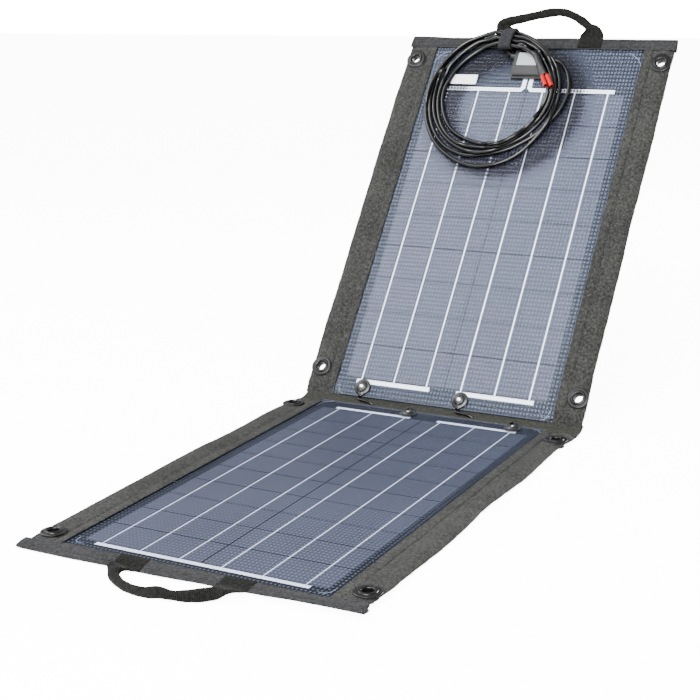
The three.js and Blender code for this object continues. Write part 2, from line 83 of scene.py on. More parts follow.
# the dimples of the film sit on every second point of its grid
FILM_WIDTH, FILM_LENGTH = 2 * (HALF_WIDTH + 1.5), LENGTH + 1.0
FILM_COLUMNS, FILM_ROWS = round(FILM_WIDTH / 1.3), round(FILM_LENGTH / 1.65)

NORMAL = {"upper": np.array([0, -SIN, COS]), "lower": np.array([0.0, 0.0, 1.0])}


def columns(*values):
    return np.stack(np.broadcast_arrays(*values), -1)


def world_mm(half, x, y, z):
    x, y, z = np.broadcast_arrays(x, y, z)
    if half == "upper":
        return columns(x, FOLD_Y + y * COS - z * SIN, FACE_Z + y * SIN + z * COS)
    return columns(x, FOLD_Y - y, FACE_Z + z)


def place(half, x, y, z):
    """a half's own axes in millimetres to world metres"""
    return world_mm(half, x, y, z) / 1000


def place_all(half, points):
    points = np.asarray(points, float)
    return place(half, points[..., 0], points[..., 1], points[..., 2])


def vector(half, x, y, z):
    return Vector(place(half, x, y, z).tolist())


# ------------------------------------------------------------------ curves
def waviness(at, size, wavelength, seed):
    """smooth repeatable 1-D waviness in three octaves"""
    draw = np.random.default_rng(seed)
    total = 0
    for k in range(3):
        turns = np.asarray(at) / (wavelength / 1.9 ** k) * (1 + 0.13 * draw.random())
        total = total + size / (1.7 ** k) * np.sin(2 * np.pi * turns + draw.random() * 6.28)
    return total


def ease(start, stop, x):
    """smooth step from 0 at start to 1 at stop"""
    t = np.clip((np.asarray(x, float) - start) / (stop - start), 0, 1)
    return t * t * (3 - 2 * t)


def bell(x, centre, width):
    return np.exp(-((x - centre) / width) ** 2)


def circle(count):
    return np.linspace(0, 2 * np.pi, count, endpoint=False)


def unit(vectors):
    return vectors / np.linalg.norm(vectors, axis=-1, keepdims=True)


def tangents(points):
    return unit(np.gradient(points, axis=0))


def left_of(vectors):
    """2-D vectors turned a quarter turn anticlockwise"""
    return columns(-vectors[:, 1], vectors[:, 0])


def arc_length(points):
    return np.concatenate([[0], np.cumsum(np.linalg.norm(np.diff(points, axis=0), axis=1))])


def points_at(distance, length, points):
    return columns(*[np.interp(distance, length, column) for column in points.T])


def even(points, count):
    length = arc_length(points)
    return points_at(np.linspace(0, length[-1], count), length, points)


def resample(points, step):
    return even(points, max(4, int(round(arc_length(points)[-1] / step))))


def resample_loop(points, step):
    return resample(np.vstack([points, points[:1]]), step)[:-1]


def spline(controls, count):
    """Catmull-Rom curve through the controls, evenly spaced"""
    ctl = np.asarray(controls, float)
    ctl = np.vstack([2 * ctl[0] - ctl[1], ctl, 2 * ctl[-1] - ctl[-2]])
    curve = []
    for t in np.linspace(0, len(ctl) - 3 - 1e-9, count):
        i = int(t)
        t -= i
        before, start, stop, after = ctl[i:i + 4]
        curve.append(0.5 * (2 * start + (stop - before) * t
                            + (2 * before - 5 * start + 4 * stop - after) * t * t
                            + (3 * start - before - 3 * stop + after) * t ** 3))
    return even(np.array(curve), count)


def three_tap(values):
    inside = 0.5 * values[1:-1] + 0.25 * (values[:-2] + values[2:])
    return np.concatenate([[values[0]], inside, [values[-1]]])


def rounded(profile, radius=0.35):
    """a closed profile polygon with its corners rounded"""
    corners = [np.array(point, float) for point in profile]
    curve = []
    for i, corner in enumerate(corners):
        back = corners[i - 1] - corner
        ahead = corners[(i + 1) % len(corners)] - corner
        reach = min(radius, 0.45 * np.linalg.norm(back), 0.45 * np.linalg.norm(ahead))
        first, last = corner + unit(back) * reach, corner + unit(ahead) * reach
        for t in (0, 1 / 3, 2 / 3, 1):
            curve.append((1 - t) ** 2 * first + 2 * t * (1 - t) * corner + t * t * last)
    return np.array(curve)


# ------------------------------------------------------------------ meshes
def solid(name, verts, faces, materials, uv=None, smooth=True, slots=None):
    """a mesh object whose faces all point outwards"""
    mesh = bpy.data.meshes.new(name)
    mesh.from_pydata(np.asarray(verts, float).reshape(-1, 3).tolist(), [], faces)
    if uv is not None:
        layer = mesh.uv_layers.new(name="UVMap")
        corner = np.zeros(len(mesh.loops), int)
        mesh.loops.foreach_get("vertex_index", corner)
        uv = np.asarray(uv, float).reshape(-1, 2)
        layer.data.foreach_set("uv", uv[corner].astype(np.float32).ravel())
    mesh.polygons.foreach_set("use_smooth", [smooth] * len(mesh.polygons))
    if slots is not None:
        mesh.polygons.foreach_set("material_index", slots)
    mesh.update()
    piece = bpy.data.objects.new(name, mesh)
    bpy.context.scene.collection.objects.link(piece)
    for material in materials if isinstance(materials, list) else [materials]:
        mesh.materials.append(material)
    edit = bmesh.new()
    edit.from_mesh(mesh)
    bmesh.ops.recalc_face_normals(edit, faces=edit.faces)
    edit.to_mesh(mesh)
    edit.free()
    mesh.update()
    return piece


def loft(name, parts, materials, closed=False, **options):
    """skins stacks of rings into one mesh; a part is an array (ring, corner, xyz) in metres

    The first and last ring are capped, or joined to each other if closed.
    """
    faces, base = [], 0
    for rings in parts:
        count, size, _ = rings.shape
        for k in range(count if closed else count - 1):
            this, after = base + k * size, base + (k + 1) % count * size
            for i in range(size):
                j = (i + 1) % size
                faces.append((this + i, this + j, after + j, after + i))
        if not closed:
            last = base + (count - 1) * size
            faces.append(tuple(range(base, base + size))[::-1])
            faces.append(tuple(range(last, last + size)))
        base += count * size
    verts = np.vstack([rings.reshape(-1, 3) for rings in parts])
    return solid(name, verts, faces, materials, **options)


def grid_quads(index):
    corners = index[:-1, :-1], index[1:, :-1], index[1:, 1:], index[:-1, 1:]
    return columns(*corners).reshape(-1, 4).tolist()


def grid_rim(index):
    return [int(i) for i in
            [*index[:, 0], *index[-1, 1:], *index[-2::-1, -1], *index[0, -2:0:-1]]]


def slab(name, to_world, x, y, top, bottom, material):
    """a closed sheet over a grid; to_world maps x, y and a height to metres"""
    x, y, top, bottom = np.broadcast_arrays(x, y, top, bottom)
    count = x.size
    index = np.arange(count).reshape(x.shape)
    faces = grid_quads(index)
    faces += [(a, d, c, b) for a, b, c, d in grid_quads(index + count)]
    rim = grid_rim(index)
    for i, j in zip(rim, rim[1:] + rim[:1]):
        faces.append((i, i + count, j + count, j))
    uv = columns(x, y) / 1000
    return solid(name, [to_world(x, y, top), to_world(x, y, bottom)], faces, material,
                 uv=[uv, uv])


def lathe(name, half, x, y, profile, material, segments, closed=True):
    """turns a profile of (radius, z) about the half's z at x, y"""
    radius, z = np.array(profile, float).T[..., None]
    angle = circle(segments)
    out_x, out_y = x + radius * np.cos(angle), y + radius * np.sin(angle)
    return loft(name, [place(half, out_x, out_y, z)], material, closed=closed,
                uv=columns(out_x, out_y) / 1000)


def ellipses(centre, side, top, width, height, count):
    """rings round the centres; width and height are half sizes, as scalars or columns"""
    angle = circle(count)
    return (centre[:, None] + side[:, None] * (width * np.cos(angle))[..., None]
            + top[:, None] * (height * np.sin(angle))[..., None])


def sweep(name, points, radius, material, sides=14, up=(0, 0, 1)):
    """a round cable along world points in metres; the radius is in millimetres"""
    along = tangents(points)
    side = np.zeros_like(points)
    side[0] = unit(np.cross(along[0], up))
    for i in range(1, len(points)):
        side[i] = unit(side[i - 1] - along[i] * (side[i - 1] @ along[i]))
    radius = np.broadcast_to(radius, len(points))[:, None] / 1000
    rings = ellipses(points, side, np.cross(along, side), radius, radius, sides)
    uv = columns(circle(sides) / 6.283 * 0.02, arc_length(points)[:, None])
    return loft(name, [rings], material, uv=uv)


def shade_smooth(piece):
    piece.data.polygons.foreach_set("use_smooth", [True] * len(piece.data.polygons))


def vertices(mesh):
    return np.array([vertex.co for vertex in mesh.vertices])


def set_vertices(piece, positions):
    piece.data.vertices.foreach_set("co", positions.astype(np.float32).ravel())
    piece.data.update()


def cut_hole(piece, half, x, y):
    """cuts an eyelet's hole through a soft piece"""
    out_x = x + EYELET_HOLE * np.cos(circle(40))
    out_y = y + EYELET_HOLE * np.sin(circle(40))
    rings = np.stack([place(half, out_x, out_y, z) for z in (-12.0, 12.0)])
    cutter = loft("cutter", [rings], MAT["fabric"])
    modifier = piece.modifiers.new("cut", "BOOLEAN")
    modifier.operation = "DIFFERENCE"
    modifier.object = cutter
    modifier.solver = "EXACT"
    graph = bpy.context.evaluated_depsgraph_get()
    mesh = bpy.data.meshes.new_from_object(piece.evaluated_get(graph))
    mesh.name = piece.data.name + "_m"
    piece.modifiers.clear()
    piece.data = mesh
    bpy.data.objects.remove(cutter)


def puff(piece, pinned):
    """cloth pass on a sewn tube: pinned points hold the seams, the rest fills and wrinkles"""
    frames, furthest = 14, 0.0022    # no point moves further than this, metres
    rest = vertices(piece.data)
    group = piece.vertex_groups.new(name="pin")
    group.add(np.nonzero(pinned)[0].tolist(), 1.0, "REPLACE")
    modifier = piece.modifiers.new("cloth", "CLOTH")
    cloth_settings = dict(
        quality=6, mass=0.2, vertex_group_mass="pin", pin_stiffness=1.0, tension_stiffness=12,
        compression_stiffness=12, shear_stiffness=4, bending_stiffness=0.25,
        use_pressure=True, uniform_pressure_force=2.2, shrink_min=-0.035)
    for key, value in cloth_settings.items():
        setattr(modifier.settings, key, value)
    modifier.settings.effector_weights.gravity = 0
    modifier.collision_settings.use_collision = False
    modifier.point_cache.frame_start = 1
    modifier.point_cache.frame_end = frames
    scene = bpy.context.scene
    for i in range(1, frames + 1):
        scene.frame_set(i)
    evaluated = piece.evaluated_get(bpy.context.evaluated_depsgraph_get())
    moved = vertices(evaluated.to_mesh()) - rest
    evaluated.to_mesh_clear()
    piece.modifiers.clear()
    piece.vertex_groups.clear()
    scene.frame_set(1)
    # a simulation that blew up leaves the piece as it was drawn
    if not np.isfinite(moved).all():
        return
    distance = np.linalg.norm(moved, axis=1)
    moved *= np.minimum(1.0, furthest / np.maximum(distance, 1e-9))[:, None]
    set_vertices(piece, rest + moved)


def register(piece, body, replaces=None):
    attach(piece, body)
    if replaces:
        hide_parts(replaces)


# ------------------------------------------------------------------ shader nodes
class Signal:
    """a node's output; arithmetic on it adds Math nodes"""

    def __init__(self, shader, socket):
        self.shader, self.socket = shader, socket

    def math(self, operation, *others):
        return self.shader.math(operation, self, *others)

    def __add__(self, other):
        return self.math("ADD", other)

    def __sub__(self, other):
        return self.math("SUBTRACT", other)

    def __rsub__(self, other):
        return self.shader.math("SUBTRACT", other, self)

    def __mul__(self, other):
        return self.math("MULTIPLY", other)

    def __truediv__(self, other):
        return self.math("DIVIDE", other)

    def fit(self, scale, offset):
        return self.math("MULTIPLY_ADD", scale, offset)

    def stripes(self, pitch, sharpness):
        """thin bright lines, one every pitch metres"""
        wave = (self * (math.pi / pitch)).math("SINE")
        return wave.math("ABSOLUTE").math("POWER", sharpness)


class Shader:
    def __init__(self, tree):
        self.tree = tree

    def put(self, socket, value):
        """links a signal, or sets a number or an (r, g, b) colour"""
        if isinstance(value, Signal):
            self.tree.links.new(value.socket, socket)
        else:
            socket.default_value = (*value, 1.0) if isinstance(value, tuple) else value

    def add(self, kind, inputs=None, output=0, **settings):
        node = self.tree.nodes.new("ShaderNode" + kind)
        for key, value in settings.items():
            setattr(node, key, value)
        for key, value in (inputs or {}).items():
            self.put(node.inputs[key], value)
        return Signal(self, node.outputs[output])

    def math(self, operation, first, second=0.0, third=None):
        inputs = {0: first, 1: second}
        if third is not None:
            inputs[2] = third
        return self.add("Math", inputs, operation=operation)

    def mix(self, factor, first, second, blend="MIX"):
        return self.add("Mix", {0: factor, 6: first, 7: second}, output=2,
                        data_type="RGBA", blend_type=blend)

    def mix_shader(self, factor, first, second):
        return self.add("MixShader", {0: factor, 1: first, 2: second})

    def coord(self, kind):
        return self.add("TexCoord", output=kind)

    def axes(self, coordinates):
        node = self.add("SeparateXYZ", {0: coordinates}).socket.node
        return [Signal(self, socket) for socket in node.outputs]

    def ramp(self, factor, stops):
        signal = self.add("ValToRGB", {0: factor})
        elements = signal.socket.node.color_ramp.elements
        while len(elements) < len(stops):
            elements.new(0.5)
        for element, (position, color) in zip(elements, stops):
            element.position = position
            element.color = (*color, 1)
        return signal

    def bump(self, height, strength, distance):
        return self.add("Bump", {"Height": height, "Strength": strength, "Distance": distance})

    def principled(self, **inputs):
        """inputs by name, with underscores for spaces"""
        return self.add("BsdfPrincipled", {k.replace("_", " "): v for k, v in inputs.items()})


class Material(Shader):
    """an empty material with its output node and object coordinates"""

    def __init__(self, name):
        self.material = bpy.data.materials.new(name)
        self.material.use_nodes = True
        super().__init__(self.material.node_tree)
        self.tree.nodes.clear()
        self.output = self.tree.nodes.new("ShaderNodeOutputMaterial")
        self.object = self.coord("Object")

    def noise(self, scale, detail=3.0, rough=0.55):
        return self.add("TexNoise", {"Vector": self.object, "Scale": scale,
                                     "Detail": detail, "Roughness": rough}, output="Fac")

    def done(self, surface):
        self.put(self.output.inputs[0], surface)
        return self.material


# ------------------------------------------------------------------ materials
def srgb(*levels):
    """8-bit sRGB levels to a linear colour"""
    shares = [level / 255 for level in levels]
    return tuple(c / 12.92 if c <= 0.04045 else ((c + 0.055) / 1.055) ** 2.4 for c in shares)


def grey(level, warm=0.0):
    bright = level * (1 + warm * 0.3)
    return bright, bright, level * (1 - warm * 1.6)


def scaled(factor, *color):
    return tuple(level * factor for level in color)


def cloth(name, dark, light, pitch=0.9, rough=0.88, ribs=None, bump=0.5, coords="UV"):
    """woven cloth; pitch is the thread spacing, ribs the spacing of ribs instead, millimetres"""
    shader = Material(name)
    across, along, _ = shader.axes(shader.coord(coords))

    def wave(axis, spacing):
        return (axis * (2 * math.pi / (spacing / 1000))).math("SINE")

    threads = wave(along, ribs) if ribs else wave(across, pitch) * wave(along, pitch)
    weave = threads.fit(scale=0.5, offset=0.5)
    fine = shader.noise(scale=900, detail=2, rough=0.7)
    patch = shader.noise(scale=14, detail=4, rough=0.6)
    speck = shader.noise(scale=300, detail=3, rough=0.75)
    # shares of the weave, the fibres, the worn patches and the specks in the tone
    tone = weave * 0.35 + fine * 0.45 + (patch - 0.5) * 0.5 + (speck - 0.5) * 1.9
    middle = tuple((a + b) / 2 for a, b in zip(dark, light))
    return shader.done(shader.principled(
        Base_Color=shader.ramp(tone, [(0.12, dark), (0.5, middle), (0.85, light)]),
        Roughness=speck.fit(scale=0.12, offset=rough - 0.06),
        Normal=shader.bump(weave * 0.6 + fine * 0.5, strength=bump, distance=0.0004),
        Sheen_Weight=0.02, Sheen_Roughness=0.5, Specular_IOR_Level=0.06))


def plastic(name, color, rough, grain=0.3, vary=0.2, spec=0.5):
    """grain is the strength of the fine bump, vary the spread of the colour"""
    shader = Material(name)
    big, small = shader.noise(scale=60, detail=4), shader.noise(scale=1500, detail=2)
    stops = [(0.3, scaled(1 - vary, *color)), (0.7, scaled(1 + vary, *color))]
    return shader.done(shader.principled(
        Base_Color=shader.ramp(big, stops), Roughness=big.fit(scale=0.2, offset=rough - 0.1),
        Normal=shader.bump(small, strength=grain, distance=0.00012), Specular_IOR_Level=spec))


def cell_material(name, level, fade):
    """silicon with fine printed fingers; the last switch paints light on it, lighter towards the
    front and darker towards the fold
    """
    shader = Material(name)
    _, y, z = shader.axes(shader.object)
    tone, fine = shader.noise(scale=6), shader.noise(scale=260, rough=0.7)
    # distance along the half: tilted behind the fold, world y in front of it
    along = y * COS + z * SIN
    along = along + y.math("LESS_THAN", 0.305) * (y - along)
    fingers = along.stripes(pitch=0.0019, sharpness=8.0)
    color = shader.mix(tone, scaled(level, 0.0200, 0.0213, 0.0335),
                       scaled(level, 0.0245, 0.0260, 0.0400))
    color = shader.mix(fine * 0.3, color, scaled(level, 0.036, 0.039, 0.054))
    color = shader.mix((1.0 - fingers) * 0.08, color, scaled(level, 0.08, 0.085, 0.10))
    # painted light: the lower cells grow lighter towards the front and darker towards the fold
    if fade:
        color = shader.mix(1.0, color, y.fit(scale=-0.95, offset=1.0), "MULTIPLY")
    return shader.done(shader.principled(
        Base_Color=color, Roughness=fine.fit(scale=0.2, offset=0.42), Specular_IOR_Level=0.2,
        Normal=shader.bump(fine, strength=0.15, distance=0.0002)))


def board_material(name, level):
    """dark backing board with a few darker lines along its long margins"""
    shader = Material(name)
    from_middle = shader.axes(shader.object)[0].math("ABSOLUTE")
    grain, tone = shader.noise(scale=320, rough=0.7), shader.noise(scale=9)
    color = shader.mix(tone, scaled(level, 0.0080, 0.0100, 0.0160),
                       scaled(level, 0.0105, 0.0130, 0.0205))
    color = shader.mix(grain * 0.25, color, scaled(level, 0.018, 0.022, 0.034))
    lines = from_middle.stripes(pitch=0.0026, sharpness=4.0)
    margin = from_middle.math("GREATER_THAN", 0.1595) * from_middle.math("LESS_THAN", 0.1690)
    color = shader.mix(lines * margin * 0.8, color, scaled(level, 0.0035, 0.0048, 0.0090))
    return shader.done(shader.principled(
        Base_Color=color, Roughness=grain.fit(scale=0.3, offset=0.5), Specular_IOR_Level=0.15,
        Normal=shader.bump(grain, strength=0.3, distance=0.0003)))


def coil_shadow(shader, x, y, pit):
    """painted shadow and reflection of the dark coil on the dimples: patches that shrink to dots
    further away
    """
    centre_x, centre_y, radius, half_band, softness = -0.024, 0.500, 0.101, 0.012, 0.015
    off_x, off_y = x + -centre_x, y - centre_y
    distance = (off_x * off_x + off_y * off_y).math("SQRT")
    gap = ((distance - radius).math("ABSOLUTE") - half_band).math("MAXIMUM", 0.0) / softness
    ring = (gap * gap * -1.0).math("EXPONENT")
    dark = ring.fit(scale=1.15, offset=pit.fit(scale=1.2, offset=-0.75))
    dark = dark.math("MAXIMUM", 0.0).math("MINIMUM", 0.90)
    return dark * ring.math("GREATER_THAN", 0.04)


def film_material(half, haze, dots, sharpness, dot_colors):
    """clear pressed film: milky dots in the dimple pits, part haze of the film and part painted
    highlight, and a soft constant sheen
    """
    shader = Material(f"dimpled_film_{half}")
    x, y, _ = shader.axes(shader.coord("UV"))
    soft, fine = shader.noise(scale=5), shader.noise(scale=700, detail=2, rough=0.6)

    def wave(distance, step):
        return (distance * (math.pi / 2 / step)).math("COSINE").fit(scale=0.5, offset=0.5)

    pit = (wave(x + FILM_WIDTH / 2 / 1000, FILM_WIDTH / FILM_COLUMNS / 1000)
           * wave(y - HALVES[half]["near"] / 1000, FILM_LENGTH / FILM_ROWS / 1000))
    pit = pit.math("POWER", sharpness)
    # painted shadow and reflection of the coil, on the upper film only
    dark = coil_shadow(shader, x, y, pit) if half == "upper" else soft * 0.0
    clear = shader.add("BsdfTransparent", {0: (0.96, 0.975, 1.0)})
    # where the painted coil shadow falls, the milky layer turns near black
    milky = shader.principled(
        Base_Color=shader.mix(dark.math("GREATER_THAN", 0.03), shader.mix(soft, *dot_colors),
                              (0.004, 0.004, 0.008)),
        Roughness=fine.fit(scale=0.12, offset=0.6), Specular_IOR_Level=0.1,
        Normal=shader.bump(fine, strength=0.2, distance=0.0001))
    # the milky dots brighten the dimple pits: part haze of the film, part painted highlight
    share = pit.fit(scale=dots, offset=soft.fit(scale=0.06, offset=haze - 0.03))
    body = shader.mix_shader(share.math("MAXIMUM", dark), clear, milky)
    gloss = shader.add("BsdfGlossy", {"Roughness": fine.fit(scale=0.08, offset=0.12)})
    shine = 0.006
    return shader.done(shader.mix_shader(soft.fit(shine * 0.3, shine), body, gloss))


def ribbon_material(name, first, second):
    shader = Material(name)
    tone = shader.noise(scale=180)
    return shader.done(shader.principled(
        Base_Color=shader.mix(tone, srgb(*first), srgb(*second)),
        Roughness=tone.fit(scale=0.3, offset=0.3),
        Normal=shader.bump(shader.noise(scale=1400, detail=2), strength=0.2, distance=0.0001)))


def film_underside():
    shader = Material("film_underside")
    tint = shader.mix(shader.noise(scale=40, detail=2), (0.97, 0.975, 0.99), (1.0, 1.0, 1.0))
    return shader.done(shader.add("BsdfTransparent", {0: tint}))


def rivet_steel():
    shader = Material("rivet_steel")
    tone = shader.noise(scale=900)
    return shader.done(shader.principled(
        Base_Color=shader.mix(tone, srgb(205, 206, 208), srgb(238, 238, 240)),
        Metallic=0.85, Roughness=tone.fit(scale=0.25, offset=0.2)))


MAT = {
    "fabric": cloth("canvas_grey", dark=grey(0.0085, warm=0.015), light=grey(0.043, warm=0.04)),
    "hem": cloth("hem_tape_grey", dark=grey(0.0100), light=grey(0.034, warm=-0.03),
                 ribs=1.5, bump=0.7),
    "back": cloth("canvas_back", dark=grey(0.012), light=grey(0.038)),
    "strip": cloth("canvas_fold", dark=grey(0.0105, warm=0.06), light=grey(0.034, warm=0.08)),
    "webbing": cloth("webbing_black", dark=grey(0.0018, warm=0.05),
                     light=grey(0.0115, warm=0.06), ribs=2.1, bump=1.0, rough=0.85),
    "thread": cloth("stitch_thread", dark=grey(0.004), light=grey(0.020),
                    pitch=0.4, coords="Object"),
    "strap": cloth("loop_tape", dark=grey(0.010, warm=-0.06), light=grey(0.026, warm=-0.08),
                   pitch=0.6, rough=0.96, coords="Object"),
    "eyelet": plastic("eyelet_nylon", grey(0.0030), rough=0.30, spec=0.20),
    "black": plastic("moulded_black", grey(0.006), rough=0.38, spec=0.4),
    "box": plastic("box_black", grey(0.0062), rough=0.40, grain=0.45, spec=0.38),
    "cable": plastic("cable_jacket", grey(0.0008), rough=0.22, grain=0.08, spec=0.30),
    "shrink": plastic("heat_shrink", grey(0.010), rough=0.45, spec=0.3),
    "red": plastic("sleeve_red", (0.26, 0.0045, 0.004), rough=0.36, grain=0.2, vary=0.12,
                   spec=0.22),
    "window": plastic("box_window", (0.25, 0.275, 0.275), rough=0.30, grain=0.2, vary=0.06),
    "label": plastic("label_white", (0.78, 0.80, 0.82), rough=0.35, grain=0.1, vary=0.03),
    "magnet": rivet_steel(),
    # cells, boards and ribbons each have an upper and a lower copy of one material at two
    # brightnesses: painted light, the upper copy painted lighter
    "cell_lower": cell_material("cell_silicon_lower", level=0.86, fade=True),
    "cell_upper": cell_material("cell_silicon_upper", level=1.42, fade=False),
    "board_lower": board_material("backing_board_lower", level=0.16),
    "board_upper": board_material("backing_board_upper", level=1.1),
    "ribbon_upper": ribbon_material("tinned_ribbon_upper", (240, 248, 255), (250, 254, 255)),
    "ribbon_lower": ribbon_material("tinned_ribbon_lower", (176, 184, 200), (204, 210, 222)),
    "clear": film_underside(),
    # the two films differ in dot strength and colour as painted light: the upper film's dots are
    # painted lighter than the lower's
    "film_upper": film_material("upper", haze=0.002, dots=0.28, sharpness=1.3,
                                dot_colors=((0.26, 0.32, 0.45), (0.31, 0.37, 0.50))),
    "film_lower": film_material("lower", haze=0.001, dots=0.20, sharpness=1.6,
                                dot_colors=((0.22, 0.27, 0.44), (0.26, 0.31, 0.48))),
    "edge": plastic("laminate_edge", (0.085, 0.115, 0.17), rough=0.3, grain=0.1, vary=0.05),
}

# pattern in a CAD piece's name and its material; the first match counts
CAD_MATERIALS = [
    ("cell_string", "cell_{half}"), ("backing_board", "board_{half}"),
    ("bus_ribbon", "ribbon_{half}"), ("magnet", "magnet"), ("window", "window"),
    ("label", "label"), ("^junction_box", "box"), ("sleeve", "red"), ("shrink", "shrink"),
    ("strap", "strap"), ("cable", "cable"), ("handle", "webbing"), ("eyelet", "eyelet"),
    ("boss", "black"), ("", "fabric"),
]
for name, node in NODES.items():
    key = next(key for pattern, key in CAD_MATERIALS if re.search(pattern, name))
    node.data.materials.clear()
    node.data.materials.append(MAT[key.format(half=name[:5])])

# ------------------------------------------------------------------ carrier: side borders
# how far each border's outer edge stands in from about x = 215, every 30 mm of y
EDGE_Y = np.arange(30, 631, 30)
EDGE_IN = {
    ("upper", -1): [-2.6, -2.1, -3.0, -3.8, -2.7, -2.6, -2.5, -3.3, -3.6, -3.4, -4.2,
                    -3.6, -4.5, -4.5, -4.2, -3.6, -5.0, -3.6, -3.0, -2.3, -2.0],
    ("upper", 1): [0.8, 1.2, 2.4, 1.6, 1.4, 1.0, 1.1, 0.6, 0.8, 1.5, 1.5,
                   0.3, 0.5, -0.3, -0.8, -0.5, -0.1, -0.6, 0.1, -1.1, -1.1],
    ("lower", -1): [0.6, -3.0, -4.9, -4.6, -4.0, -3.3, -3.2, -4.2, -7.2, -6.8, -6.5,
                    -5.8, -5.4, -4.4, -5.2, -4.6, -5.8, -5.5, -5.7, -5.0, -2.0],
    ("lower", 1): [-1.2, 2.6, 3.3, 2.5, 1.7, 0.5, 0.3, 1.8, 2.6, 3.7, 3.5,
                   1.3, 0.4, -0.5, -0.9, 0.1, 0.6, 0.9, -1.0, 0.6, 1.2],
}
# section round the outer edge and along the turned-under flap:
# x (from the outer edge, then absolute), z, share of the thinning
EDGE_TURN = [(0, -2.6, 0), (0.25, -3.9, 0.3), (-0.2, -5.4, 0.8), (-1.6, -6.5, 1)]
FLAP = [(207, UNDERSIDE, 0.35), (201, UNDERSIDE, 0), (199.4, -6.7, 0), (199.6, -6.35, 0),
        (205, -6.2, 0), (208, -5.2, 0), (208, -4.8, 0), (176, -4.8, 0), (175.4, -4.2, 0),
        (175.4, 0.05, 0), (170.9, 0.08, 0)]
# x and z offsets of the one eyelet that sits off its pitch
EYELET_SHIFT = {("lower", "far", 1): (2.2, 0.6)}


def eyelet_shift(half, station, side):
    return EYELET_SHIFT.get((half, station, side), (0.0, 0.0))


def corner_droop(half, x, y):
    """the lower half's far left corner sags to the ground; its far right one curls up a little"""
    if half == "upper":
        return np.zeros(np.shape(y))
    return (-3.2 * ease(430, 640, y) * ease(-120, -200, x)
            + 2.6 * ease(520, 640, y) * ease(150, 205, x))


